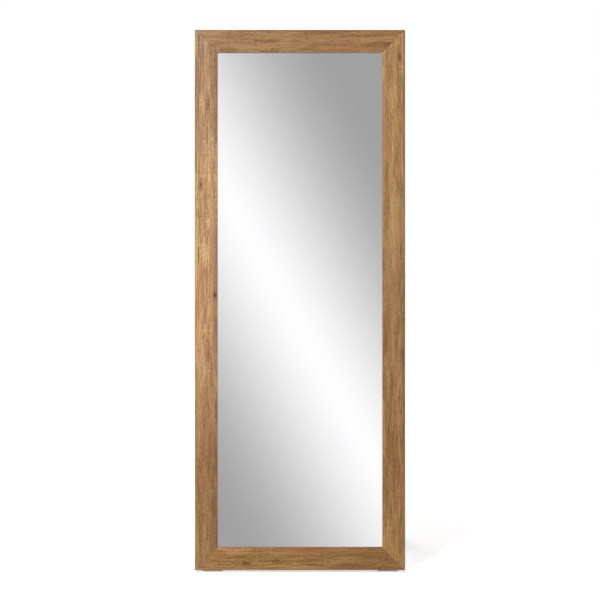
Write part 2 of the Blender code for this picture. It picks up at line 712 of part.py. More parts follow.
def make_stay_tracks(panel):
    """Angle strips with a slot in the web, where the stays' studs run."""
    bottom, top, slot_bottom, slot_top = track_span()
    outer = WEB_X + SHEET / 2
    inner = outer - TRACK_FLANGE
    free = PIVOT_DEPTH + TRACK_WEB
    half = STUD_RADIUS + GAP
    slot = arc((PIVOT_DEPTH, slot_top - half), (half, half), 0, 180, 8)
    slot += arc((PIVOT_DEPTH, slot_bottom + half), (half, half), 180, 360, 8)
    for side, across in SIDES:
        name = f"stay_track_{side}"
        angle = [(inner, GAP), (outer, GAP), (outer, free), (outer - SHEET, free)]
        angle += [(outer - SHEET, GAP + SHEET), (inner, GAP + SHEET)]
        mesh = extruded(name, [[(across * x, y) for x, y in angle]], top - bottom)
        track = new_piece(name, mesh, panel, ZINC, (0, 0, (top + bottom) / 2))
        cutter = extruded("slot", [slot], 3 * SHEET, SIDE_VIEW)
        combine(track, new_guide(name + "_slot", cutter, panel, (across * WEB_X, 0, 0)))
        drill_back(track, track_screw_places(across), panel)
        for level, (x, z) in zip(("lower", "upper"), track_screw_places(across)):
            back_screw(f"{name}_screw_{level}", x, z, GAP + SHEET, panel)


def make_stay_arms(easel):
    """Flat bars, each with a headed stud at its free end that runs in a track's slot."""
    half = STAY_WIDTH / 2
    outline = arc((0, 0), (half, half), 0, 180, 8)
    outline += arc((0, -STAY_REACH), (half, half), 180, 360, 8)
    hole = circle((0, 0), STAY_SCREW_RADIUS + GAP)
    head_outer = WEB_X - SHEET / 2 - GAP
    head_inner = head_outer - STUD_HEAD_HEIGHT
    shank = STAY_X + SHEET / 2 - head_outer
    for side, across in SIDES:
        pivot = new_empty(f"stay_pivot_{side}", easel, (0, 0, -STAY_REACH), -2 * SPREAD)
        name = f"stay_arm_{side}"
        mesh = extruded(name, [outline, hole], SHEET, SIDE_VIEW)
        arm = new_piece(name, mesh, pivot, ZINC, (across * STAY_X, 0, 0))
        stud = bmesh.new()
        middle = (across * (head_outer + shank / 2 - GAP), 0, -STAY_REACH)
        add_cylinder(stud, middle, STUD_RADIUS, shank - GAP, "X")
        combine(arm, new_guide(name + "_stud", mesh_from_bmesh("stud", stud), pivot), "UNION")
        head = bmesh.new()
        middle = (across * (head_outer + head_inner) / 2, 0, -STAY_REACH)
        add_cylinder(head, middle, STUD_HEAD_RADIUS, STUD_HEAD_HEIGHT, "X")
        combine(arm, new_guide(name + "_stud_head", mesh_from_bmesh("head", head), pivot), "UNION")


def make_stay_screws(easel):
    seat = STAY_X - SHEET / 2 - GAP
    length = LEG_INNER_X + STAY_SCREW_DEPTH - seat
    profile = screw_profile(STAY_SCREW_RADIUS, length, SCREW_HEAD_RADIUS, SCREW_HEAD_HEIGHT)
    for side, across in SIDES:
        place = (across * seat, 0, -STAY_REACH)
        facing = (0, -across * math.pi / 2, 0)
        turned(f"stay_pivot_screw_{side}", profile, easel, ZINC, place, facing, SCREW_SIDES)


def screws_by_rail():
    """X and Z of every screw in each rail's back."""
    places = {"top": [], "bottom": [], "left": [], "right": []}
    for _, side, x, z, _ in clip_places():
        places[side].append((x, z))
    for side, across in SIDES:
        x, z = hanger_place(across)
        places[side].append((x, z - STRAP_SCREW_DROP))
        places[side] += bracket_screw_places(across)
        places[side] += track_screw_places(across)
    return places


def centre_on_origin(root):
    """Moves the whole mirror so that the origin is under the middle of its box."""
    bpy.context.view_layer.update()
    graph = bpy.context.evaluated_depsgraph_get()
    reach = []
    for piece in bpy.data.collections["full_length_mirror"].objects:
        if piece.type == "EMPTY":
            continue
        shown = piece.evaluated_get(graph)
        mesh = shown.to_mesh()
        reach += [(shown.matrix_world @ vertex.co).y for vertex in mesh.vertices]
        shown.to_mesh_clear()
    root.location.y = -(min(reach) + max(reach)) / 2


def main():
    clear_scene()
    new_collection("full_length_mirror")
    new_collection("cutters")
    root = new_empty("mirror_origin")
    panel = new_empty("panel_rear_bottom_edge", root, (0, 0, EDGE_LIFT), -LEAN)
    easel = new_empty("easel_pivot", panel, (0, PIVOT_DEPTH, PIVOT_HEIGHT), SPREAD)
    make_rails(panel, screws_by_rail())
    make_rabbet_stack(panel)
    make_corner_braces(panel)
    make_backing_clips(panel)
    make_hangers(panel)
    make_floor_pads(panel)
    make_legs(easel)
    make_cross_bars(easel)
    make_feet(easel)
    make_pivot_brackets(panel)
    make_pivot_bolts(easel)
    make_stay_tracks(panel)
    make_stay_arms(easel)
    make_stay_screws(easel)
    centre_on_origin(root)


main()
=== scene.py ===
"""Finished look of a full-length floor mirror on its fold-out easel.

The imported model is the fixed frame. Panel axes are the world's axes turned about X by the
panel's lean: X across the mirror, Y behind it, Z up along it. Easel axes are turned the
other way by the legs' lean. Every piece is built in one of these and then put in place.
"""

import json
import math

import bmesh
import bpy
from bpy.props import FloatProperty, FloatVectorProperty, IntProperty, PointerProperty
from mathutils import Matrix, Vector


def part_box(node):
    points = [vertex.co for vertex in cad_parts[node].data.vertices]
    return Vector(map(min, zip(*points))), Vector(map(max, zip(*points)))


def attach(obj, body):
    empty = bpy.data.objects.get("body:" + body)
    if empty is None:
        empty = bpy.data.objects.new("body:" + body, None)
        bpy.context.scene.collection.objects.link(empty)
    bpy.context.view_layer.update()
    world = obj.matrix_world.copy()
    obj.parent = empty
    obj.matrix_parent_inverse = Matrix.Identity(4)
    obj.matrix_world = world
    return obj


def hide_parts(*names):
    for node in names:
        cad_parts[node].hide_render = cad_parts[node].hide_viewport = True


bl_info = {
    "name": "Floor mirror",
    "version": (1, 0, 0),
    "blender": (4, 5, 0),
    "location": "View3D > Sidebar > Floor mirror",
    "description": "Builds the finish of a full-length floor mirror around its packed frame",
    "category": "Add Mesh",
}

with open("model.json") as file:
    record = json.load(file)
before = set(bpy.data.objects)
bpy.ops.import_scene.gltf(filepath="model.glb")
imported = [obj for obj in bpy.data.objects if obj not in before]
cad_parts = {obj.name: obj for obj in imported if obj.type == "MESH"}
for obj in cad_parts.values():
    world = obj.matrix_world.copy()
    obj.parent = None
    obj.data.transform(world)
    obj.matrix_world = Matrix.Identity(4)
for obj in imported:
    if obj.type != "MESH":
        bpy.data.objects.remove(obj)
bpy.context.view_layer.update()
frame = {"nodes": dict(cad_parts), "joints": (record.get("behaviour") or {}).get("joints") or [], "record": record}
NODES = frame["nodes"]
SIDES = (("left", -1), ("right", 1))
PANEL_BODY = "mirror_panel"
EASEL_BODY = "easel"

MITRE_GAP = 0.00021  # each mitred end is cut short by this
SHEET_EASE = 0.0003  # rounding of the edges of steel sheet
SMALL_EASE = 0.0002  # the same on nuts and washers
FOOT_EASE = 0.0012
PAD_EASE = 0.0006
GLASS_EASE = 0.0006
SCREEN_PITCH = 0.0016  # threads of the screen that marks the hardboard
PAN_HEIGHT = 0.3  # height of a pan head, as a share of its diameter
BUTTON_HEIGHT = 0.6  # height of a bolt's head, as a share of its radius
BRACE_WIDTH = 0.016
BRACE_HOLE_INSET = 0.010  # last hole to the end of an arm
BRACE_HOLE_PITCH = 0.030
BRACE_SCREW_LENGTH = 0.014
FLAT_RECESS = 0.0016  # depth of the cross in a flat head
PIVOT_BOLT_RADIUS = 0.003
STAY_SCREW_RADIUS = 0.0025
HEX_SOCKET_RADIUS = 0.0023
RING_WIRE = 0.003
RING_CORNER = 0.0025  # bend beside the straight bar, to the wire's middle
CARD_BEHIND = 1.0  # camera to the reflected card
CARD_HALF = 3.0
CARD_BLUE = 1.006  # makes up for the silvering
CARD_FADE = (-0.075, 0.955)  # shares of the fade width where it begins and ends
FLOOR_HALF = 40.0
FLOOR_FADE = (1.4, 4.5)  # from the middle, where the floor begins and ends its fade


def joint_place(name):
    """Where a joint's axis is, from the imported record."""
    for joint in frame["joints"]:
        if joint["name"] == name:
            return Vector(joint["pos_m"])
    raise RuntimeError(f"the frame has no joint named {name}")


def panel_lean():
    """Angle of the glass from upright, between the two long edges of its rear face."""
    corners = [vertex.co for vertex in NODES["mirror_glass"].data.vertices]
    foot = min(corners, key=lambda corner: corner.z)
    top = max(corners, key=lambda corner: corner.y)
    return math.atan2(top.y - foot.y, top.z - foot.z)


def leg_lean():
    """Angle of the legs from upright, from the easel's pivot to the middle of a foot's sole."""
    pivot = joint_place("easel_fold")
    for mount in frame["record"]["mounts"]:
        if mount["name"] == "easel_foot_left_sole":
            sole = Vector(mount["pos_m"])
            return math.atan2(sole.y - pivot.y, pivot.z - sole.z)
    raise RuntimeError("the frame has no easel foot")


LEAN = panel_lean()
LEG_LEAN = leg_lean()
PANEL_AXES = Matrix.Rotation(-LEAN, 4, "X")
EASEL_AXES = Matrix.Rotation(LEG_LEAN, 4, "X")
STAY_AXES = Matrix.Rotation(LEG_LEAN - 2 * (LEAN + LEG_LEAN), 4, "X")


def extent(node, axes):
    """Lowest and highest corners of a CAD node, measured along turned axes."""
    back = axes.inverted()
    points = [back @ vertex.co for vertex in NODES[node].data.vertices]
    low = Vector([min(point[i] for point in points) for i in range(3)])
    high = Vector([max(point[i] for point in points) for i in range(3)])
    return low, high


# Settings


def length(name, default, description):
    return FloatProperty(
        name=name, default=default, description=description, unit="LENGTH", precision=5
    )


def ratio(name, default, description):
    return FloatProperty(name=name, default=default, description=description)


def power(name, default, description):
    return FloatProperty(name=name, default=default, description=description, unit="POWER")


def colour(name, default, description):
    return FloatVectorProperty(
        name=name, default=default, description=description, subtype="COLOR", min=0.0, max=1.0
    )


class FloorMirrorMoulding(bpy.types.PropertyGroup):
    """Section of the wood-look moulding"""

    lip_width: length("Lip width", 0.009, "Sloping lip beside the glass, seen from the front")
    sight_drop: length("Sight drop", 0.0075, "Face down to the edge beside the glass")
    lip_drop: length("Lip drop", 0.0025, "Face down to the top of the lip")
    crown_rise: length("Crown rise", 0.0011, "How far the face bows up across its width")
    bead_width: length("Bead width", 0.012, "Outer bead, from its groove to the outer side")
    groove_width: length("Groove width", 0.0012, "Fine groove inside the outer bead")
    groove_depth: length("Groove depth", 0.0006, "Depth of the fine groove")
    edge_round: length("Edge rounding", 0.0085, "Radius from the face to the outer side")
    back_ease: length("Back edge", 0.001, "Chamfer between the outer side and the back")
    rabbet_width: length("Rabbet width", 0.007, "Step that holds the glass, behind the lip")
    curve_steps: IntProperty(
        name="Curve steps", default=14, min=4, description="Points along each curve"
    )


class FloorMirrorFinish(bpy.types.PropertyGroup):
    """Colours of the finishes"""

    oak_light: colour("Oak, light", (0.682, 0.426, 0.208), "Pale summer wood in the foil")
    oak_middle: colour("Oak, middle", (0.462, 0.260, 0.117), "Main colour of the foil")
    oak_dark: colour("Oak, dark", (0.204, 0.099, 0.036), "Dark grain of the foil")
    oak_red: colour("Oak, red", (0.473, 0.218, 0.120), "Warm streaks of the foil")
    knot: colour("Knots", (0.060, 0.027, 0.011), "Heart of a knot")
    raw_wood: colour("Raw core", (0.420, 0.285, 0.160), "Uncovered wood at the back")
    leg_light: colour("Leg, light", (0.460, 0.275, 0.130), "Pale grain of the easel")
    leg_dark: colour("Leg, dark", (0.220, 0.112, 0.047), "Dark grain of the easel")
    silver: colour("Silvering", (0.951, 0.951, 0.955), "Tint of the mirror's reflection")
    glass_edge: colour("Glass edge", (0.080, 0.200, 0.150), "Green of the plate's edge")
    mirror_paint: colour("Mirror paint", (0.150, 0.160, 0.170), "Protective paint behind the silvering")
    hardboard: colour("Hardboard", (0.190, 0.105, 0.052), "Backing board")
    foam: colour("Foam", (0.700, 0.700, 0.680), "Cushion sheet behind the glass")
    zinc: colour("Zinc", (0.600, 0.615, 0.630), "Plated steel fittings")
    rubber: colour("Rubber", (0.022, 0.021, 0.020), "Easel feet")
    clear_rubber: colour("Clear rubber", (0.520, 0.520, 0.510), "Frosted floor pads")


class FloorMirrorStudio(bpy.types.PropertyGroup):
    """Camera, lights and the card that the mirror reflects"""

    lens: length("Lens", 0.135, "Focal length")
    sensor: length("Sensor", 0.036, "Width of the camera's sensor")
    view_width: length("View width", 1.846, "Width seen at the front of the frame")
    ridge_slope: ratio("Ridge slope", -0.566, "Bright band, across per up")
    ridge_offset: length("Ridge offset", -0.051, "Bright band at mid height, from the middle")
    fade_width: length("Fade width", 0.624, "Bright band to the even grey beside it")
    card_bright: ratio("Card, bright", 1.0, "Display level of the band")
    card_grey: ratio("Card, grey", 0.628, "Display level beside the band")
    card_glow: ratio("Card, glow", 1.06, "Strength of the card, to make up for the silvering")
    key_power: power("Key", 24.0, "Large light, upper left")
    fill_power: power("Fill", 5.0, "Soft light, right")
    rear_power: power("Rear", 60.0, "Light behind")
    ambient: ratio("Ambient", 0.40, "Light from all round")
    floor_lift: ratio("Floor lift", 0.48, "Glow of the floor to the camera")
    floor_mirrored: ratio("Floor in mirrors", 0.45, "Share of that glow in reflections")


def moulding():
    return bpy.context.scene.floor_mirror_moulding


def finish():
    return bpy.context.scene.floor_mirror_finish


def studio():
    return bpy.context.scene.floor_mirror_studio


# Shader trees


def scaled_colour(shade, level):
    return tuple(min(1.0, part * level) for part in shade)


class Tree:
    """Adds nodes to a shader tree, with their inputs given by value or by link."""

    def __init__(self, tree):
        self.tree = tree

    def add(self, kind, inputs=None, **settings):
        node = self.tree.nodes.new("ShaderNode" + kind)
        for name, value in settings.items():
            setattr(node, name, value)
        for key, value in (inputs or {}).items():
            self.put(node.inputs[key], value)
        return node

    def put(self, socket, value):
        if isinstance(value, bpy.types.NodeSocket):
            self.tree.links.new(value, socket)
        elif socket.type == "RGBA":
            socket.default_value = (*value[:3], 1.0)
        else:
            socket.default_value = value

    def math(self, operation, *values):
        return self.add("Math", dict(enumerate(values)), operation=operation).outputs[0]

    def times(self, first, second):
        return self.math("MULTIPLY", first, second)

    def times_plus(self, value, factor, base):
        return self.math("MULTIPLY_ADD", value, factor, base)

    def highest(self, first, second):
        return self.math("MAXIMUM", first, second)

    def bell(self, square, spread):
        """1 at the middle, falling away with the square of the distance over spread."""
        return self.math("EXPONENT", self.math("DIVIDE", self.times(square, -1.0), spread))

    def axes(self, vector):
        return self.add("SeparateXYZ", {"Vector": vector}).outputs

    def vector(self, x, y, z):
        return self.add("CombineXYZ", {"X": x, "Y": y, "Z": z}).outputs[0]

    def noise(self, vector, scale=1.0, detail=3.0, roughness=0.55):
        inputs = {"Vector": vector, "Scale": scale, "Detail": detail, "Roughness": roughness}
        return self.add("TexNoise", inputs).outputs["Fac"]

    def stretch(self, value, low, high, out_low=0.0, out_high=1.0):
        """Value mapped from low..high to out_low..out_high, with soft ends."""
        ends = {"From Min": low, "From Max": high, "To Min": out_low, "To Max": out_high}
        node = self.add("MapRange", {"Value": value, **ends}, interpolation_type="SMOOTHSTEP")
        return node.outputs["Result"]

    def mix(self, factor, first, second, blend="MIX"):
        node = self.add("Mix", data_type="RGBA", blend_type=blend)
        for number, value in ((0, factor), (6, first), (7, second)):
            self.put(node.inputs[number], value)
        return node.outputs[2]

    def ramp(self, value, stops):
        """Colour ramp through (position, colour) stops."""
        node = self.add("ValToRGB", {"Fac": value})
        elements = node.color_ramp.elements
        while len(elements) < len(stops):
            elements.new(0.5)
        for element, (position, shade) in zip(elements, stops):
            element.position = position
            element.color = (*shade, 1.0)
        return node.outputs["Color"]

    def shades(self, value, shade, *stops):
        """Colour ramp through (position, level) stops of one colour."""
        return self.ramp(value, [(place, scaled_colour(shade, level)) for place, level in stops])

    def group(self, name, **inputs):
        """A shared group with its inputs, as its outputs."""
        node = self.tree.nodes.new("ShaderNodeGroup")
        node.node_tree = bpy.data.node_groups[name]
        for key, value in inputs.items():
            self.put(node.inputs[key], value)
        return node.outputs


class Coating(Tree):
    """A new material's tree, with its Principled shader and its object coordinates."""

    def __init__(self, name):
        self.material = bpy.data.materials.new(name)
        self.material.use_nodes = True
        super().__init__(self.material.node_tree)
        self.shader = self.tree.nodes["Principled BSDF"]
        self.place = self.add("TexCoord").outputs["Object"]

    def paint(self, base, rough):
        self.put(self.shader.inputs["Base Color"], base)
        self.put(self.shader.inputs["Roughness"], rough)

    def relief(self, height, distance, strength=1.0):
        bump = self.add("Bump", {"Height": height, "Distance": distance, "Strength": strength})
        self.put(self.shader.inputs["Normal"], bump.outputs["Normal"])

    def handling(self, size):
        return self.group("handling", Vector=self.place, Size=size)


FLOAT = "NodeSocketFloat"
VECTOR = "NodeSocketVector"


def new_group(name, inputs, outputs):
    """An empty node group of numbers over a Vector, as its Tree, its inputs and its outputs."""
    group = bpy.data.node_groups.new(name, "ShaderNodeTree")
    group.interface.new_socket("Vector", in_out="INPUT", socket_type=VECTOR)
    for label, default in inputs:
        group.interface.new_socket(label, in_out="INPUT", socket_type=FLOAT).default_value = default
    for label in outputs:
        group.interface.new_socket(label, in_out="OUTPUT", socket_type=FLOAT)
    given = group.nodes.new("NodeGroupInput")
    made = group.nodes.new("NodeGroupOutput")
    return Tree(group), given.outputs, made.inputs


def build_wood_figure():
    """Grain along X: streaks that wander, knots that push them aside, pores and fibres."""
    tree, given, made = new_group(
        "wood_figure",
        [("Seed", 0.0), ("Knots", 1.0), ("Width", 1.0)],
        ["Tone", "Warmth", "Knot", "Pores", "Height"],
    )
    parts = tree.axes(given["Vector"])
    along = tree.times_plus(given["Seed"], 3.71, parts["X"])
    sideways = tree.math("ADD", parts["Y"], parts["Z"])
    across = tree.times_plus(given["Seed"], 0.313, sideways)

    slow = tree.noise(tree.vector(tree.times(along, 2.1), 0.0, tree.times(across, 9.0)))
    quick = tree.noise(tree.vector(tree.times(along, 11.0), 4.0, tree.times(across, 30.0)))
    wander = tree.times_plus(tree.math("SUBTRACT", slow, 0.5), 0.030, across)
    wander = tree.times_plus(tree.math("SUBTRACT", quick, 0.5), 0.0045, wander)

    # Knots: one point in each long cell, with the grain pressed away from it.
    cells_along, cells_across, knot_stretch = 3.1, 15.0, 2.6
    cell = tree.vector(tree.times(along, cells_along), tree.times(across, cells_across), 0.0)
    inputs = {"Vector": cell, "Scale": 1.0, "Randomness": 0.9}
    knots = tree.add("TexVoronoi", inputs, voronoi_dimensions="2D").outputs
    away = tree.add("VectorMath", {0: cell, 1: knots["Position"]}, operation="SUBTRACT").outputs[0]
    away = tree.axes(away)
    lengthways = tree.math("DIVIDE", away["X"], cells_along * knot_stretch)
    crossways = tree.math("DIVIDE", away["Y"], cells_across)
    square = tree.times_plus(lengthways, lengthways, tree.times(crossways, crossways))
    distance = tree.math("SQRT", square)
    chance = tree.add("SeparateColor", {"Color": knots["Color"]}).outputs["Red"]
    strength = tree.times(tree.stretch(chance, 0.52, 0.60), given["Knots"])
    side = tree.math("DIVIDE", crossways, tree.math("SQRT", tree.math("ADD", square, 0.000006)))
    shove = tree.times(tree.times(side, tree.bell(square, 0.000110)), strength)
    flow = tree.math("DIVIDE", tree.times_plus(shove, -0.0105, wander), given["Width"])

    def streaks(per_along, per_flow, offset, detail):
        """Noise drawn out along the grain, with its cells per metre along and across."""
        vector = tree.vector(tree.times(along, per_along), offset, tree.times(flow, per_flow))
        return tree.noise(vector, detail=detail, roughness=0.6)

    broad = streaks(2.0, 24.0, 1.0, 2.0)
    medium = streaks(6.0, 90.0, 2.0, 3.0)
    narrow = streaks(17.0, 260.0, 3.0, 3.0)
    dashes = streaks(95.0, 330.0, 6.0, 2.0)
    fibre = streaks(60.0, 1300.0, 5.0, 2.0)
    tone = tree.times_plus(broad, 0.20, tree.times(medium, 0.22))
    for part, share in ((narrow, 0.28), (dashes, 0.20), (fibre, 0.10)):
        tone = tree.times_plus(part, share, tone)
    halo = tree.times(tree.bell(square, 0.000035), strength)
    tone = tree.times_plus(halo, -0.10, tone)
    ragged = tree.times_plus(tree.math("SUBTRACT", narrow, 0.5), 0.006, distance)
    heart = tree.times(tree.stretch(ragged, 0.0030, 0.0008), strength)

    banded = tree.stretch(medium, 0.36, 0.60, 1.0, 0.25)
    pores = tree.times(tree.stretch(streaks(55.0, 2300.0, 7.0, 1.0), 0.60, 0.70), banded)
    height = tree.times_plus(pores, -0.7, tree.times(fibre, 0.5))

    tree.put(made["Tone"], tree.stretch(tone, 0.405, 0.595))
    tree.put(made["Warmth"], tree.stretch(streaks(3.2, 48.0, 9.0, 3.0), 0.46, 0.64))
    tree.put(made["Knot"], tree.highest(heart, tree.times(halo, 0.22)))
    tree.put(made["Pores"], pores)
    tree.put(made["Height"], tree.times_plus(heart, -0.5, height))


def build_handling():
    """Faint smudges and dust specks, as values that shift roughness and colour."""
    tree, given, made = new_group("handling", [("Size", 0.05)], ["Smudges", "Specks"])
    scaled = tree.add("VectorMath", {0: given["Vector"]}, operation="SCALE")
    tree.put(scaled.inputs["Scale"], tree.math("DIVIDE", 1.0, given["Size"]))
    vector = scaled.outputs[0]
    tree.put(made["Smudges"], tree.stretch(tree.noise(vector, 1.0, 4.0, 0.6), 0.42, 0.68))
    tree.put(made["Specks"], tree.stretch(tree.noise(vector, 60.0, 1.0), 0.68, 0.76))


# Materials


def oak_foil(name, seed, painted_light_levels, sight, width, reach):
    """Printed oak foil on a rail from X = -reach to reach, its face from sight to sight + width."""
    shades = finish()
    tree = Coating(name)
    figure = tree.group("wood_figure", Vector=tree.place, Seed=seed)
    stops = [
        (0.05, scaled_colour(shades.oak_dark, 1.35)),
        (0.45, shades.oak_middle),
        (0.92, shades.oak_light),
    ]
    base = tree.ramp(figure["Tone"], stops)
    # The foil is warmer over the inner third of the face.
    parts = tree.axes(tree.place)
    out = tree.math("SUBTRACT", parts["Z"], sight)
    inner = tree.stretch(out, 0.4 * width, 0.2 * width, 0.0, 0.22)
    base = tree.mix(tree.times_plus(figure["Warmth"], 0.45, inner), base, shades.oak_red)
    base = tree.mix(tree.times(figure["Pores"], 0.55), base, shades.oak_dark)
    base = tree.mix(tree.times(figure["Knot"], 0.85), base, shades.knot)
    # Painted shade: the foil is darker along the sight edge and the outer side, and a little in the lip's corner,
    # where shade falls.
    corner = tree.math("ABSOLUTE", tree.math("SUBTRACT", out, moulding().lip_width))
    painted_edge_shade = tree.times(tree.stretch(corner, 0.0016, 0.0002), 0.15)
    painted_edge_shade = tree.highest(painted_edge_shade, tree.stretch(out, 0.0022, 0.0002, 0.0, 0.30))
    # Painted shade along the outer side.
    side = tree.stretch(out, width - 0.0025, width - 0.0002, 0.0, 0.25)
    base = tree.mix(tree.highest(painted_edge_shade, side), base, shades.oak_dark)
    wear = tree.handling(0.09)
    base = tree.mix(tree.times(wear["Specks"], 0.10), base, shades.oak_light)
    # Painted light and shade: the foil is tinted lighter or darker along the rail, as light from the upper left
    # fell on it.
    painted_light_tint = tree.ramp(tree.times_plus(parts["X"], 0.5 / reach, 0.5), painted_light_levels)
    base = tree.mix(1.0, base, painted_light_tint, "MULTIPLY")
    rough = tree.times_plus(figure["Pores"], 0.22, 0.40)
    tree.paint(base, tree.times_plus(wear["Smudges"], 0.08, rough))
    tree.shader.inputs["Specular IOR Level"].default_value = 0.42
    tree.relief(figure["Height"], 0.00035, 0.55)
    return tree.material


def raw_core():
    """The moulding's uncovered core, seen on its back and in the rabbet."""
    shades = finish()
    tree = Coating("raw_core")
    figure = tree.group("wood_figure", Vector=tree.place, Seed=6.0, Knots=0.4, Width=1.4)
    base = tree.shades(figure["Tone"], shades.raw_wood, (0.0, 0.72), (0.9, 1.12))
    base = tree.mix(tree.times(figure["Knot"], 0.7), base, shades.oak_dark)
    sawn = tree.noise(tree.place, 900.0, 2.0)
    base = tree.mix(tree.times(sawn, 0.18), base, shades.oak_dark)
    tree.paint(base, tree.times_plus(figure["Pores"], 0.1, 0.78))
    tree.relief(tree.times_plus(sawn, 0.6, figure["Height"]), 0.0004, 0.8)
    return tree.material


def easel_wood(name, seed, order):
    """Stained solid wood, its grain along the first axis of order, such as Z in ZXY."""
    shades = finish()
    tree = Coating(name)
    parts = tree.axes(tree.place)
    vector = tree.vector(*(parts[axis] for axis in order))
    figure = tree.group("wood_figure", Vector=vector, Seed=seed, Knots=0.7, Width=0.8)
    base = tree.ramp(figure["Tone"], [(0.0, shades.leg_dark), (0.85, shades.leg_light)])
    base = tree.mix(tree.times(figure["Warmth"], 0.3), base, shades.oak_red)
    base = tree.mix(tree.times(figure["Knot"], 0.8), base, shades.knot)
    base = tree.mix(tree.times(figure["Pores"], 0.4), base, shades.oak_dark)
    tree.paint(base, tree.times_plus(tree.handling(0.05)["Smudges"], 0.12, 0.44))
    tree.relief(figure["Height"], 0.0004, 0.7)
    return tree.material


def mirror_silver():
    """Silvered glass: an even mirror with the faintest trace of wiping."""
    tree = Coating("mirror_silver")
    wear = tree.handling(0.22)
    dusty = tree.mix(tree.times(wear["Specks"], 0.03), finish().silver, (0.80, 0.80, 0.79))
    tree.paint(dusty, tree.times_plus(wear["Smudges"], 0.012, 0.008))
    tree.shader.inputs["Metallic"].default_value = 1.0
    return tree.material


def glass_edge():
    """Ground edge of the plate, green as thick glass is."""
    tree = Coating("glass_edge")
    ground = tree.noise(tree.place, 700.0, 2.0)
    base = tree.shades(ground, finish().glass_edge, (0.2, 1.0), (0.9, 1.5))
    tree.paint(base, tree.times_plus(ground, 0.2, 0.15))
    return tree.material


def mirror_paint():
    """Grey paint behind the silvering."""
    tree = Coating("mirror_paint")
    mottle = tree.noise(tree.place, 60.0, 4.0)
    base = tree.shades(mottle, finish().mirror_paint, (0.3, 1.0), (0.8, 1.2))
    tree.paint(base, tree.times_plus(mottle, 0.15, 0.5))
    return tree.material


def hardboard():
    """Pressed board with its screen-patterned side out."""
    tree = Coating("hardboard")
    inputs = {"Vector": tree.place, "Angle": LEAN}
    turned = tree.add("VectorRotate", inputs, rotation_type="X_AXIS").outputs[0]
    parts = tree.axes(turned)
    weave = []
    for axis in ("X", "Z"):
        wave = tree.math("SINE", tree.times(parts[axis], 2 * math.pi / SCREEN_PITCH))
        weave.append(tree.times_plus(wave, 0.5, 0.5))
    screen = tree.times(*weave)
    fibres = tree.noise(turned, 420.0, 4.0, 0.7)
    clouds = tree.noise(turned, 7.0, 4.0)
    shade = finish().hardboard
    base = tree.shades(fibres, shade, (0.25, 0.62), (0.60, 1.0), (0.85, 1.6))
    chips = tree.stretch(tree.noise(turned, 150.0, 3.0, 0.8), 0.56, 0.70)
    for mask, share, level in ((chips, 0.35, 1.9), (clouds, 0.6, 1.45), (screen, 0.22, 0.55)):
        base = tree.mix(tree.times(mask, share), base, scaled_colour(shade, level))
    tree.paint(base, tree.times_plus(fibres, 0.15, 0.72))
    tree.relief(tree.times_plus(screen, -1.0, tree.times(fibres, 0.6)), 0.0003)
    return tree.material


def foam():
    """Closed-cell foam sheet."""
    tree = Coating("cushion_foam")
    cells = tree.add("TexVoronoi", {"Vector": tree.place, "Scale": 900.0}).outputs["Distance"]
    base = tree.shades(cells, finish().foam, (0.0, 1.0), (0.9, 0.8))
    tree.paint(base, tree.times_plus(cells, 0.1, 0.85))
    tree.relief(cells, 0.0003)
    return tree.material


def zinc():
    """Bright zinc plate: cloudy, finely brushed, a little duller where it was handled."""
    tree = Coating("zinc_steel")
    shade = finish().zinc
    clouds = tree.noise(tree.place, 140.0, 4.0, 0.65)
    brushed = tree.add("Mapping", {"Vector": tree.place, "Scale": (900.0, 900.0, 60.0)}).outputs[0]
    scratches = tree.noise(brushed, 1.0, 2.0)
    base = tree.shades(clouds, shade, (0.3, 0.80), (0.7, 1.10))
    base = tree.mix(tree.times(scratches, 0.20), base, scaled_colour(shade, 0.7))
    rough = tree.times_plus(clouds, 0.16, 0.22)
    tree.paint(base, tree.times_plus(tree.handling(0.012)["Smudges"], 0.14, rough))
    tree.shader.inputs["Metallic"].default_value = 1.0
    tree.relief(scratches, 0.00005, 0.6)
    return tree.material


def rubber(name, shade):
    """Moulded rubber with a fine matt skin and a little dust on it."""
    tree = Coating(name)
    grain = tree.noise(tree.place, 1600.0, 3.0)
    smudges = tree.handling(0.02)["Smudges"]
    base = tree.shades(grain, shade, (0.2, 1.0), (0.9, 1.9))
    base = tree.mix(tree.times(smudges, 0.10), base, (0.20, 0.19, 0.18))
    tree.paint(base, tree.times_plus(smudges, 0.15, 0.68))
    tree.relief(grain, 0.00015, 0.8)
    return tree.material


# Shapes


def new_object(name, data):
    piece = bpy.data.objects.new(name, data)
    bpy.context.scene.collection.objects.link(piece)
    return piece


def mesh_object(name, shape, materials):
    mesh = bpy.data.meshes.new(name)
    bmesh.ops.recalc_face_normals(shape, faces=shape.faces)
    shape.to_mesh(mesh)
    shape.free()
    for material in materials:
        mesh.materials.append(material)
    return new_object(name, mesh)


def smooth(piece, angle=40.0):
    piece.data.shade_smooth()
    piece.data.set_sharp_from_angle(angle=math.radians(angle))
    weighted = piece.modifiers.new("even_shading", "WEIGHTED_NORMAL")
    weighted.keep_sharp = True
    return piece


def seat(piece, axes, body, slot, *nodes):
    """Puts a piece on its body and hides the CAD nodes it stands for. Its slot is not used."""
    piece.matrix_world = axes
    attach(piece, body)
    if nodes:
        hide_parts(*nodes)
    return piece


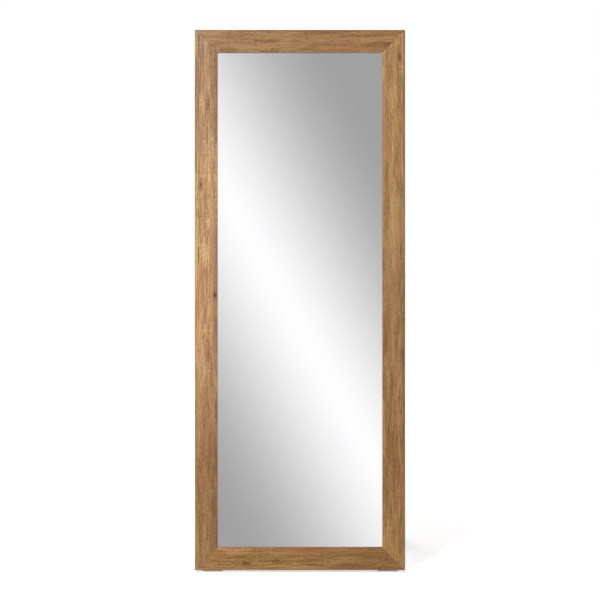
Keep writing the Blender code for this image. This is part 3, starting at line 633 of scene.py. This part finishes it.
def eased_copy(node, axes, body, slot, material, width, steps=2):
    """The CAD node as one welded mesh with its edges eased, in turned axes."""
    shape = bmesh.new()
    shape.from_mesh(NODES[node].data)
    bmesh.ops.transform(shape, matrix=axes.inverted(), verts=shape.verts)
    bmesh.ops.remove_doubles(shape, verts=shape.verts, dist=0.000004)
    bmesh.ops.dissolve_limit(
        shape, angle_limit=math.radians(1.0), verts=shape.verts, edges=shape.edges, delimit={"NORMAL"}
    )
    if width:
        sharp = math.radians(40)
        edges = [edge for edge in shape.edges if edge.is_manifold and edge.calc_face_angle() > sharp]
        ease = {"offset": width, "segments": steps, "profile": 0.5, "affect": "EDGES"}
        bmesh.ops.bevel(shape, geom=edges, **ease, clamp_overlap=False, loop_slide=False)
    for face in shape.faces:
        face.material_index = 0
    piece = smooth(mesh_object(node + "_finish", shape, [material]))
    return seat(piece, axes, body, slot, node)


def arc(centre, radii, start, end, steps):
    """Points along an ellipse's arc, with its angles in degrees."""
    points = []
    for step in range(steps + 1):
        angle = math.radians(start + (end - start) * step / steps)
        across = centre[0] + radii[0] * math.cos(angle)
        points.append((across, centre[1] + radii[1] * math.sin(angle)))
    return points


def bowed(start, end, rise, steps):
    """Points from start to end along a shallow curve that rises in the middle."""
    points = []
    for step in range(steps + 1):
        share = step / steps
        across = start[0] + (end[0] - start[0]) * share
        lift = 4 * rise * share * (1 - share)
        points.append((across, start[1] + (end[1] - start[1]) * share + lift))
    return points


def moulding_section(width, depth, rabbet_depth):
    """Section as (out from the sight edge, above the back), and where its raw core begins."""
    sizes = moulding()
    steps = sizes.curve_steps
    face = depth - sizes.crown_rise
    groove = width - sizes.bead_width
    round_centre = (width - sizes.edge_round, face - sizes.edge_round)
    sight = depth - sizes.sight_drop
    lip_end = (sizes.lip_width, depth - sizes.lip_drop)
    section = [(0.0, rabbet_depth), (0.0, sight - 0.0004), (0.0004, sight)]
    section += bowed((0.001, sight + 0.0007), lip_end, 0.0005, steps // 2)
    shoulder = (sizes.lip_width + 0.0006, face - 0.0001)
    section += bowed(shoulder, (groove - sizes.groove_width, face), sizes.crown_rise, 2 * steps)
    for step in range(1, 6):
        turn = math.pi * step / 6
        across = groove - sizes.groove_width + 1.5 * sizes.groove_width * step / 6
        section.append((across, face - sizes.groove_depth * math.sin(turn)))
    section.append((groove + sizes.groove_width / 2, face))
    section += arc(round_centre, (sizes.edge_round, sizes.edge_round), 90, 0, steps)
    foil_ends = len(section)
    section += [(width, sizes.back_ease), (width - sizes.back_ease, 0.0)]
    section += [(sizes.rabbet_width, 0.0), (sizes.rabbet_width, rabbet_depth)]
    return section, foil_ends


def mitred_rail(name, section, foil_ends, half_across, half_along, stations, materials):
    """A rail along X with 45 degree ends, its section out along Z and its face to -Y."""
    shape = bmesh.new()
    rings = []
    for station in range(stations + 1):
        share = 2 * station / stations - 1
        ring = []
        for out, up in section:
            reach = half_along + out - MITRE_GAP
            ring.append(shape.verts.new((share * reach, -up, half_across + out)))
        rings.append(ring)
    count = len(section)
    for first, second in zip(rings, rings[1:]):
        for i in range(count):
            j = (i + 1) % count
            quad = shape.faces.new((first[i], first[j], second[j], second[i]))
            quad.material_index = 0 if i < foil_ends else 1
    for ring in (rings[0], rings[-1]):
        shape.faces.new(ring).material_index = 1
    return smooth(mesh_object(name, shape, materials), 30.0)


def turned_shape(profile, sides):
    """A closed turned bmesh about Z, from a profile that starts and ends on the axis."""
    shape = bmesh.new()
    rings = []
    for radius, up in profile:
        if radius < 1e-9:
            rings.append([shape.verts.new((0.0, 0.0, up))])
            continue
        ring = []
        for side in range(sides):
            angle = 2 * math.pi * side / sides
            ring.append(shape.verts.new((radius * math.cos(angle), radius * math.sin(angle), up)))
        rings.append(ring)
    for first, second in zip(rings, rings[1:]):
        for side in range(sides):
            turns = [(first, side), (first, side + 1), (second, side + 1), (second, side)]
            corners = [ring[turn % sides % len(ring)] for ring, turn in turns]
            shape.faces.new(list(dict.fromkeys(corners)))
    return shape


def cut_mesh(name, shape, cutters, materials):
    """The shape with the cutters taken out of it, as a mesh."""
    body = mesh_object(name, shape, materials)
    helpers = []
    for cutter in cutters:
        helper = mesh_object(name + "_cutter", cutter, [])
        boolean = body.modifiers.new("cut", "BOOLEAN")
        boolean.object = helper
        boolean.solver = "EXACT"
        helpers.append(helper)
    graph = bpy.context.evaluated_depsgraph_get()
    mesh = bpy.data.meshes.new_from_object(body.evaluated_get(graph))
    for old in [body, *helpers]:
        bpy.data.objects.remove(old, do_unlink=True)
    mesh.name = name
    mesh.shade_smooth()
    mesh.set_sharp_from_angle(angle=math.radians(38))
    return mesh


def split_arms(size, depth):
    """The cross recess as two separate cutters, one for each arm."""
    arms = []
    for turn in (0.0, math.pi / 2):
        cutter = bmesh.new()
        arm = bmesh.ops.create_cube(cutter, size=1.0)["verts"]
        for vertex in arm:
            deep = vertex.co.z < 0
            vertex.co.x *= size * (0.45 if deep else 1.0)
            vertex.co.y *= size * (0.19 if deep else 0.24)
            vertex.co.z = -depth if deep else depth
        bmesh.ops.rotate(cutter, verts=arm, cent=(0, 0, 0), matrix=Matrix.Rotation(turn, 3, "Z"))
        arms.append(cutter)
    return arms


def pan_screw_mesh(name, radius, long, head_radius, head_height, material):
    """A pan-head wood screw: head above z = 0 with a cross recess, threaded shank below."""
    profile = arc((0.0, 0.0), (head_radius, head_height), 90, 8, 9)
    profile += [(head_radius, 0.0), (radius * 1.02, 0.0)]
    pitch = radius * 0.9
    plain = long * 0.3
    up = -plain
    while up > -long + 2.6 * radius:
        profile += [(radius * 0.72, up), (radius, up - pitch / 2)]
        up -= pitch
    profile += [(radius * 0.6, up), (radius * 0.12, -long), (0.0, -long)]
    arms = split_arms(head_radius * 1.25, head_height * 0.62)
    for arm in arms:
        bmesh.ops.translate(arm, verts=arm.verts, vec=(0.0, 0.0, head_height))
    return cut_mesh(name, turned_shape(profile, 28), arms, [material])


def flat_screw_mesh(name, radius, long, head_radius, material):
    """A countersunk wood screw with its flat head a hair above z = 0."""
    proud = 0.00025
    profile = [(0.0, proud), (head_radius * 0.93, proud), (head_radius, 0.0001), (head_radius, 0.0)]
    profile += [(radius, -head_radius / 2), (radius, -long + radius), (0.0, -long)]
    arms = split_arms(head_radius * 1.2, FLAT_RECESS)
    return cut_mesh(name, turned_shape(profile, 28), arms, [material])


def bolt_mesh(name, radius, long, head_radius, head_height, material):
    """A button-head bolt with a hexagon socket and rolled thread at its end."""
    profile = arc((0.0, 0.0), (head_radius, head_height), 90, 6, 10)
    profile += [(head_radius, 0.0), (radius, 0.0)]
    pitch = 0.001
    up = -long * 0.62
    while up > -long + pitch:
        profile += [(radius, up), (radius * 0.86, up - pitch / 2)]
        up -= pitch
    profile += [(radius * 0.95, up), (radius * 0.7, -long), (0.0, -long)]
    socket = bmesh.new()
    place = Matrix.Translation((0.0, 0.0, head_height))
    size = {"depth": 2 * head_height * 0.7, "segments": 6, "cap_ends": True}
    for end in ("radius1", "radius2"):
        size[end] = HEX_SOCKET_RADIUS
    bmesh.ops.create_cone(socket, matrix=place, **size)
    return cut_mesh(name, turned_shape(profile, 32), [socket], [material])


def facing(direction):
    """Rotation that turns +Z to a direction along an axis."""
    return Vector((0.0, 0.0, 1.0)).rotation_difference(Vector(direction)).to_matrix().to_4x4()


# Pieces


class FLOORMIRROR_OT_shader_groups(bpy.types.Operator):
    """Builds the shared shader groups"""

    bl_idname = "floor_mirror.shader_groups"
    bl_label = "Shader groups"

    def execute(self, context):
        build_wood_figure()
        build_handling()
        return {"FINISHED"}


class FLOORMIRROR_OT_moulding(bpy.types.Operator):
    """Builds the four mitred rails of the frame"""

    bl_idname = "floor_mirror.moulding"
    bl_label = "Moulding"

    # Rail: turn about Y, seed of its foil, and its tints at shares of its length along its own X. The tints are
    # painted light and shade: each rail and each end is lighter or darker as light from the upper left fell on it.
    rails = {
        "top_rail": (0.0, 1.0, ((0.2, (0.55, 0.53, 0.49)), (0.8, (0.61, 0.56, 0.45)))),
        "bottom_rail": (math.pi, 2.0, ((0.2, (0.69, 0.61, 0.35)), (0.8, (0.91, 0.86, 0.57)))),
        "left_stile": (
            -math.pi / 2,
            3.0,
            (
                (0.20, (0.71, 0.65, 0.54)),
                (0.44, (0.97, 0.99, 0.92)),
                (0.70, (0.93, 1.00, 1.00)),
                (0.92, (0.67, 0.69, 0.75)),
            ),
        ),
        "right_stile": (
            math.pi / 2,
            4.0,
            ((0.15, (0.84, 0.83, 0.68)), (0.5, (0.68, 0.63, 0.49)), (0.9, (0.84, 0.78, 0.52))),
        ),
    }

    def execute(self, context):
        stile_low, stile_high = extent("right_stile", PANEL_AXES)
        top_low, top_high = extent("top_rail", PANEL_AXES)
        bottom_low, _ = extent("bottom_rail", PANEL_AXES)
        glass_low, _ = extent("mirror_glass", PANEL_AXES)
        half_width = stile_low.x
        centre_up = (top_high.z + bottom_low.z) / 2
        half_height = top_low.z - centre_up
        back = stile_high.y
        rabbet_depth = back - glass_low.y + 0.0003
        width = stile_high.x - stile_low.x
        section, foil_ends = moulding_section(width, back - stile_low.y, rabbet_depth)
        core = raw_core()
        for name, (turn, seed, painted_light_levels) in self.rails.items():
            upright = name.endswith("stile")
            across, along, stations = half_height, half_width, 10
            if upright:
                across, along, stations = half_width, half_height, 24
            foil = oak_foil(name + "_foil", seed, painted_light_levels, across, width, along + width)
            sizes = (section, foil_ends, across, along, stations)
            rail = mitred_rail(name + "_finish", *sizes, [foil, core])
            middle = Matrix.Translation((0.0, back, centre_up))
            turned = PANEL_AXES @ middle @ Matrix.Rotation(turn, 4, "Y")
            seat(rail, turned, PANEL_BODY, "oak_moulding", name)
        return {"FINISHED"}


class FLOORMIRROR_OT_mirror_plate(bpy.types.Operator):
    """Builds the silvered plate with its ground edges"""

    bl_idname = "floor_mirror.mirror_plate"
    bl_label = "Mirror plate"

    def execute(self, context):
        low, high = extent("mirror_glass", PANEL_AXES)
        shape = bmesh.new()
        size = high - low
        bmesh.ops.create_cube(shape, size=1.0, matrix=Matrix.Diagonal((*size, 1.0)))
        ease = {"offset": GLASS_EASE, "segments": 2, "profile": 0.5, "affect": "EDGES"}
        bmesh.ops.bevel(shape, geom=list(shape.edges), **ease)
        for face in shape.faces:
            face.material_index = 1
            if face.calc_area() > 0.1 and abs(face.normal.y) > 0.99:
                face.material_index = 0 if face.normal.y < 0 else 2
        plate = mesh_object("mirror_plate", shape, [mirror_silver(), glass_edge(), mirror_paint()])
        place = PANEL_AXES @ Matrix.Translation((low + high) / 2)
        seat(plate, place, PANEL_BODY, "mirror_plate", "mirror_glass")
        return {"FINISHED"}


class FLOORMIRROR_OT_backing(bpy.types.Operator):
    """Finishes the backing board and the cushion sheet"""

    bl_idname = "floor_mirror.backing"
    bl_label = "Backing"

    def execute(self, context):
        for node, material in (("backing_board", hardboard()), ("foam_cushion", foam())):
            slots = NODES[node].data.materials
            slots.clear()
            slots.append(material)
        return {"FINISHED"}


class FLOORMIRROR_OT_fittings(bpy.types.Operator):
    """Builds the pressed steel fittings with eased edges"""

    bl_idname = "floor_mirror.fittings"
    bl_label = "Steel fittings"

    def execute(self, context):
        steel = zinc()
        sheet = [f"corner_brace_{level}_{side}" for level in ("top", "bottom") for side, _ in SIDES]
        for place in ("left_lower", "left_upper", "right_lower", "right_upper", "bottom", "top"):
            sheet.append("backing_clip_" + place)
        for node in sheet:
            eased_copy(node, PANEL_AXES, PANEL_BODY, "zinc_steel", steel, SHEET_EASE)
        for side, _ in SIDES:
            for name in ("hanger_strap", "pivot_bracket", "stay_track"):
                node = f"{name}_{side}"
                eased_copy(node, PANEL_AXES, PANEL_BODY, "zinc_steel", steel, SHEET_EASE)
            for name in ("pivot_nut", "pivot_washer"):
                node = f"{name}_{side}"
                eased_copy(node, EASEL_AXES, EASEL_BODY, "zinc_steel", steel, SMALL_EASE)
            stay = f"stay_{side}"
            eased_copy(f"stay_arm_{side}", STAY_AXES, stay, "zinc_steel", steel, SHEET_EASE)
        return {"FINISHED"}


class FLOORMIRROR_OT_screws(bpy.types.Operator):
    """Builds the screws and pivot bolts with their recesses and threads"""

    bl_idname = "floor_mirror.screws"
    bl_label = "Screws and bolts"

    def execute(self, context):
        steel = bpy.data.materials["zinc_steel"]
        low, high = extent("backing_clip_top_screw", PANEL_AXES)
        head_radius = (high.x - low.x) / 2
        head_height = PAN_HEIGHT * 2 * head_radius
        shank = high.y - low.y - head_height
        pan = pan_screw_mesh("pan_screw", head_radius / 2, shank, head_radius, head_height, steel)
        for node in NODES:
            if node.endswith(("_screw", "_screw_upper", "_screw_lower")):
                low, high = extent(node, PANEL_AXES)
                under_head = (low + high) / 2
                under_head.y = high.y - head_height
                place = PANEL_AXES @ Matrix.Translation(under_head) @ facing((0.0, 1.0, 0.0))
                self.add(node + "_finish", pan, place, PANEL_BODY, node)
        self.add_brace_screws(head_radius, steel)
        self.add_pivots(steel)
        return {"FINISHED"}

    def add(self, name, mesh, place, body, *nodes):
        seat(new_object(name, mesh), place, body, "zinc_steel", *nodes)

    def add_brace_screws(self, head_radius, steel):
        """Flat-head screws in the two holes of each arm of the corner braces."""
        flat = flat_screw_mesh(
            "flat_screw", head_radius / 2, BRACE_SCREW_LENGTH, head_radius * 0.95, steel
        )
        for level, up in (("bottom", -1), ("top", 1)):
            for side, across in SIDES:
                brace = f"corner_brace_{level}_{side}"
                low, high = extent(brace, PANEL_AXES)
                outer = Vector((high.x if across > 0 else low.x, high.y, high.z if up > 0 else low.z))
                corner = outer - Vector((across, 0.0, up)) * BRACE_WIDTH / 2
                last = high.x - low.x - BRACE_WIDTH / 2 - BRACE_HOLE_INSET
                ways = []
                for step in (last, last - BRACE_HOLE_PITCH):
                    ways.append(Vector((-across * step, 0.0, 0.0)))
                    ways.append(Vector((0.0, 0.0, -up * step)))
                for number, way in enumerate(ways, 1):
                    spin = Matrix.Rotation(0.7 * number + across + up, 4, "Z")
                    place = PANEL_AXES @ Matrix.Translation(corner + way) @ facing((0.0, 1.0, 0.0))
                    self.add(f"{brace}_screw_{number}", flat, place @ spin, PANEL_BODY)

    def add_pivots(self, steel):
        """Pivot bolts and stay screws, whose axes lie along X."""
        kinds = (
            ("pivot_bolt", bolt_mesh, PIVOT_BOLT_RADIUS),
            ("stay_pivot_screw", pan_screw_mesh, STAY_SCREW_RADIUS),
        )
        for name, build, radius in kinds:
            low, high = extent(name + "_right", EASEL_AXES)
            head_radius = (high.z - low.z) / 2
            height = BUTTON_HEIGHT * head_radius
            mesh = build(name, radius, high.x - low.x - height, head_radius, height, steel)
            for side, across in SIDES:
                node = f"{name}_{side}"
                low, high = extent(node, EASEL_AXES)
                under_head = (low + high) / 2
                under_head.x = (low.x if across > 0 else high.x) + across * height
                place = EASEL_AXES @ Matrix.Translation(under_head) @ facing((-across, 0.0, 0.0))
                self.add(node + "_finish", mesh, place, EASEL_BODY, node)


class FLOORMIRROR_OT_hanger_rings(bpy.types.Operator):
    """Builds the D rings as smooth bent wire"""

    bl_idname = "floor_mirror.hanger_rings"
    bl_label = "Hanger rings"

    def execute(self, context):
        for side, _ in SIDES:
            node = f"hanger_ring_{side}"
            low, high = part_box(node)
            bar = joint_place(f"ring_swing_{side}")
            half = (high.x - low.x - RING_WIRE) / 2
            drop = bar.z - low.z - RING_WIRE / 2
            bend = (RING_CORNER, RING_CORNER)
            path = arc((half - RING_CORNER, -RING_CORNER), bend, 90, 0, 8)
            path += arc((0.0, -RING_CORNER), (half, drop - RING_CORNER), 0, -180, 40)[1:]
            path += arc((RING_CORNER - half, -RING_CORNER), bend, 180, 90, 8)[1:]
            ring = self.bent_wire(node + "_finish", path)
            ring.data.materials.append(bpy.data.materials["zinc_steel"])
            seat(ring, Matrix.Translation(bar), f"ring_{side}", "zinc_steel", node)
        return {"FINISHED"}

    def bent_wire(self, name, path):
        curve = bpy.data.curves.new(name, "CURVE")
        curve.dimensions = "3D"
        curve.bevel_depth = RING_WIRE / 2
        curve.bevel_resolution = 5
        spline = curve.splines.new("POLY")
        spline.points.add(len(path) - 1)
        for point, (across, up) in zip(spline.points, path):
            point.co = (across, 0.0, up, 1.0)
        spline.use_cyclic_u = True
        spline.use_smooth = True
        return new_object(name, curve)


class FLOORMIRROR_OT_easel(bpy.types.Operator):
    """Finishes the easel's legs and cross bars"""

    bl_idname = "floor_mirror.easel"
    bl_label = "Easel"

    def execute(self, context):
        for seed, (side, _) in enumerate(SIDES):
            wood = easel_wood(f"easel_leg_{side}_wood", 11.0 + seed, "ZXY")
            eased_copy(f"easel_leg_{side}", EASEL_AXES, EASEL_BODY, "easel_wood", wood, 0.0)
        for seed, level in enumerate(("upper", "lower")):
            wood = easel_wood(f"easel_cross_bar_{level}_wood", 15.0 + seed, "XYZ")
            eased_copy(f"easel_cross_bar_{level}", EASEL_AXES, EASEL_BODY, "easel_wood", wood, 0.0)
        return {"FINISHED"}


class FLOORMIRROR_OT_rubber_parts(bpy.types.Operator):
    """Finishes the easel's black feet and the frame's clear floor pads"""

    bl_idname = "floor_mirror.rubber_parts"
    bl_label = "Rubber parts"

    def execute(self, context):
        black = rubber("rubber", finish().rubber)
        frosted = rubber("clear_rubber", finish().clear_rubber)
        for side, _ in SIDES:
            foot, pad = f"easel_foot_{side}", f"floor_pad_{side}"
            eased_copy(foot, EASEL_AXES, EASEL_BODY, "rubber", black, FOOT_EASE, 4)
            eased_copy(pad, PANEL_AXES, PANEL_BODY, "clear_rubber", frosted, PAD_EASE, 3)
        return {"FINISHED"}


class FLOORMIRROR_OT_stage(bpy.types.Operator):
    """Builds the floor, the lights, the reflected card and the camera"""

    bl_idname = "floor_mirror.stage"
    bl_label = "Stage"

    def execute(self, context):
        low, high = extent("right_stile", PANEL_AXES)
        _, top = extent("top_rail", PANEL_AXES)
        bottom, _ = extent("bottom_rail", PANEL_AXES)
        face_middle = PANEL_AXES @ Vector((0.0, low.y, (top.z + bottom.z) / 2))
        outward = (PANEL_AXES @ Vector((0.0, -1.0, 0.0))).normalized()
        settings = studio()
        distance = settings.view_width * settings.lens / settings.sensor
        self.add_camera(context, face_middle + outward * distance, outward)
        self.add_card(face_middle, outward, distance)
        self.add_floor()
        self.add_world(context)
        self.add_lights(face_middle)
        context.scene.view_settings.view_transform = "Standard"
        return {"FINISHED"}

    def add_camera(self, context, place, outward):
        settings = studio()
        data = bpy.data.cameras.new("camera")
        data.sensor_width = settings.sensor * 1000
        data.lens = settings.lens * 1000
        data.clip_end = 200.0
        camera = new_object("camera", data)
        camera.location = place
        camera.rotation_euler = outward.to_track_quat("Z", "Y").to_euler()
        context.scene.camera = camera

    def add_card(self, face_middle, outward, distance):
        """A glowing card behind the camera that only the mirror sees, with a slanting bright band."""
        settings = studio()
        beyond = distance + CARD_BEHIND
        spread = 1.0 + beyond / distance
        shape = bmesh.new()
        bmesh.ops.create_grid(shape, x_segments=1, y_segments=1, size=CARD_HALF)
        material = bpy.data.materials.new("reflected_card")
        material.use_nodes = True
        tree = Tree(material.node_tree)
        material.node_tree.nodes.remove(material.node_tree.nodes["Principled BSDF"])
        parts = tree.axes(tree.add("TexCoord").outputs["Object"])
        band = tree.times_plus(parts["Y"], settings.ridge_slope, settings.ridge_offset * spread)
        away = tree.math("ABSOLUTE", tree.math("SUBTRACT", parts["X"], band))
        fade = settings.fade_width * spread
        # The fade starts a little before the band's middle, which keeps the middle a crisp line.
        start, end = CARD_FADE
        levels = (settings.card_bright, settings.card_grey)
        level = tree.stretch(away, start * fade, end * fade, *levels)
        # A display level as linear light
        linear = tree.math("POWER", tree.math("DIVIDE", tree.math("ADD", level, 0.055), 1.055), 2.4)
        shade = tree.vector(linear, linear, tree.times(linear, CARD_BLUE))
        glow = tree.add("Emission", {"Color": shade, "Strength": settings.card_glow})
        output = material.node_tree.nodes["Material Output"]
        tree.put(output.inputs["Surface"], glow.outputs[0])
        card = mesh_object("reflected_card", shape, [material])
        upright = PANEL_AXES @ Matrix.Rotation(math.pi / 2, 4, "X")
        card.matrix_world = Matrix.Translation(face_middle + outward * beyond) @ upright
        card.visible_camera = False
        card.visible_diffuse = False
        card.visible_shadow = False

    def add_floor(self):
        """A pale floor that glows a little to the camera and fades out into the white beyond."""
        shape = bmesh.new()
        bmesh.ops.create_grid(shape, x_segments=1, y_segments=1, size=FLOOR_HALF)
        tree = Coating("studio_floor")
        drift = tree.noise(tree.place, 0.8, 2.0)
        tree.paint(tree.ramp(drift, [(0.2, (0.88, 0.88, 0.88)), (0.8, (0.91, 0.91, 0.91))]), 0.7)
        sockets = tree.shader.inputs
        sockets["Specular IOR Level"].default_value = 0.1
        sockets["Emission Color"].default_value = (1.0, 1.0, 1.0, 1.0)
        rays = tree.add("LightPath").outputs
        mirrored = studio().floor_mirrored
        seen = tree.times_plus(rays["Is Glossy Ray"], mirrored, rays["Is Camera Ray"])
        tree.put(sockets["Emission Strength"], tree.times(seen, studio().floor_lift))
        reach = tree.add("VectorMath", {0: tree.place}, operation="LENGTH").outputs["Value"]
        clear = tree.add("BsdfTransparent")
        blend = tree.add("MixShader", {0: tree.stretch(reach, *FLOOR_FADE)})
        tree.put(blend.inputs[1], tree.shader.outputs[0])
        tree.put(blend.inputs[2], clear.outputs[0])
        output = tree.tree.nodes["Material Output"]
        tree.put(output.inputs["Surface"], blend.outputs[0])
        mesh_object("studio_floor", shape, [tree.material])

    def add_world(self, context):
        """Even light: plain white to the camera, pale in reflections and dimmer as lighting."""
        world = bpy.data.worlds.new("studio")
        world.use_nodes = True
        tree = Tree(world.node_tree)
        background = world.node_tree.nodes["Background"]
        up = tree.axes(tree.add("TexCoord").outputs["Generated"])["Z"]
        ambient = studio().ambient
        lit = tree.stretch(up, -0.1, 0.9, 0.86 * ambient, 1.08 * ambient)
        rays = tree.add("LightPath").outputs
        mirrored = tree.times(rays["Is Glossy Ray"], tree.stretch(up, -0.1, 0.7, 0.92, 0.60))
        strength = tree.highest(tree.highest(lit, mirrored), rays["Is Camera Ray"])
        background.inputs["Color"].default_value = (1.0, 1.0, 1.0, 1.0)
        tree.put(background.inputs["Strength"], strength)
        context.scene.world = world

    def add_lights(self, face_middle):
        settings = studio()
        above = face_middle + Vector((0.0, 0.0, 0.3))
        self.add_light("key", settings.key_power, 0.8, Vector((-0.75, -1.35, 1.90)), above)
        self.add_light("fill", settings.fill_power, 2.4, Vector((3.0, -1.6, 1.6)), face_middle)
        self.add_light("rear", settings.rear_power, 2.0, Vector((-1.5, 3.2, 2.6)), face_middle)

    def add_light(self, name, power, size, place, target):
        data = bpy.data.lights.new(name, "AREA")
        data.energy = power
        data.size = size
        lamp = new_object(name, data)
        lamp.location = place
        lamp.rotation_euler = (place - target).to_track_quat("Z", "Y").to_euler()
        lamp.visible_camera = False
        lamp.visible_glossy = name != "key"


STEPS = (
    FLOORMIRROR_OT_shader_groups,
    FLOORMIRROR_OT_stage,
    FLOORMIRROR_OT_moulding,
    FLOORMIRROR_OT_mirror_plate,
    FLOORMIRROR_OT_backing,
    FLOORMIRROR_OT_fittings,
    FLOORMIRROR_OT_screws,
    FLOORMIRROR_OT_hanger_rings,
    FLOORMIRROR_OT_easel,
    FLOORMIRROR_OT_rubber_parts,
)


class FLOORMIRROR_PT_sidebar(bpy.types.Panel):
    """Sizes, colours and the steps that build the mirror"""

    bl_idname = "FLOORMIRROR_PT_sidebar"
    bl_label = "Floor mirror"
    bl_space_type = "VIEW_3D"
    bl_region_type = "UI"
    bl_category = "Floor mirror"

    def draw(self, context):
        layout = self.layout
        for step in STEPS:
            layout.operator(step.bl_idname)
        for settings in (moulding(), finish(), studio()):
            box = layout.box()
            for name in settings.__annotations__:
                box.prop(settings, name)


SETTINGS = (
    ("floor_mirror_moulding", FloorMirrorMoulding),
    ("floor_mirror_finish", FloorMirrorFinish),
    ("floor_mirror_studio", FloorMirrorStudio),
)


def register():
    for name, group in SETTINGS:
        bpy.utils.register_class(group)
        setattr(bpy.types.Scene, name, PointerProperty(type=group))
    for step in STEPS:
        bpy.utils.register_class(step)
    bpy.utils.register_class(FLOORMIRROR_PT_sidebar)


def unregister():
    bpy.utils.unregister_class(FLOORMIRROR_PT_sidebar)
    for step in reversed(STEPS):
        bpy.utils.unregister_class(step)
    for name, group in reversed(SETTINGS):
        delattr(bpy.types.Scene, name)
        bpy.utils.unregister_class(group)


def main():
    register()
    for step in STEPS:
        area, name = step.bl_idname.split(".")
        getattr(getattr(bpy.ops, area), name)()


if __name__ == "__main__":
    main()
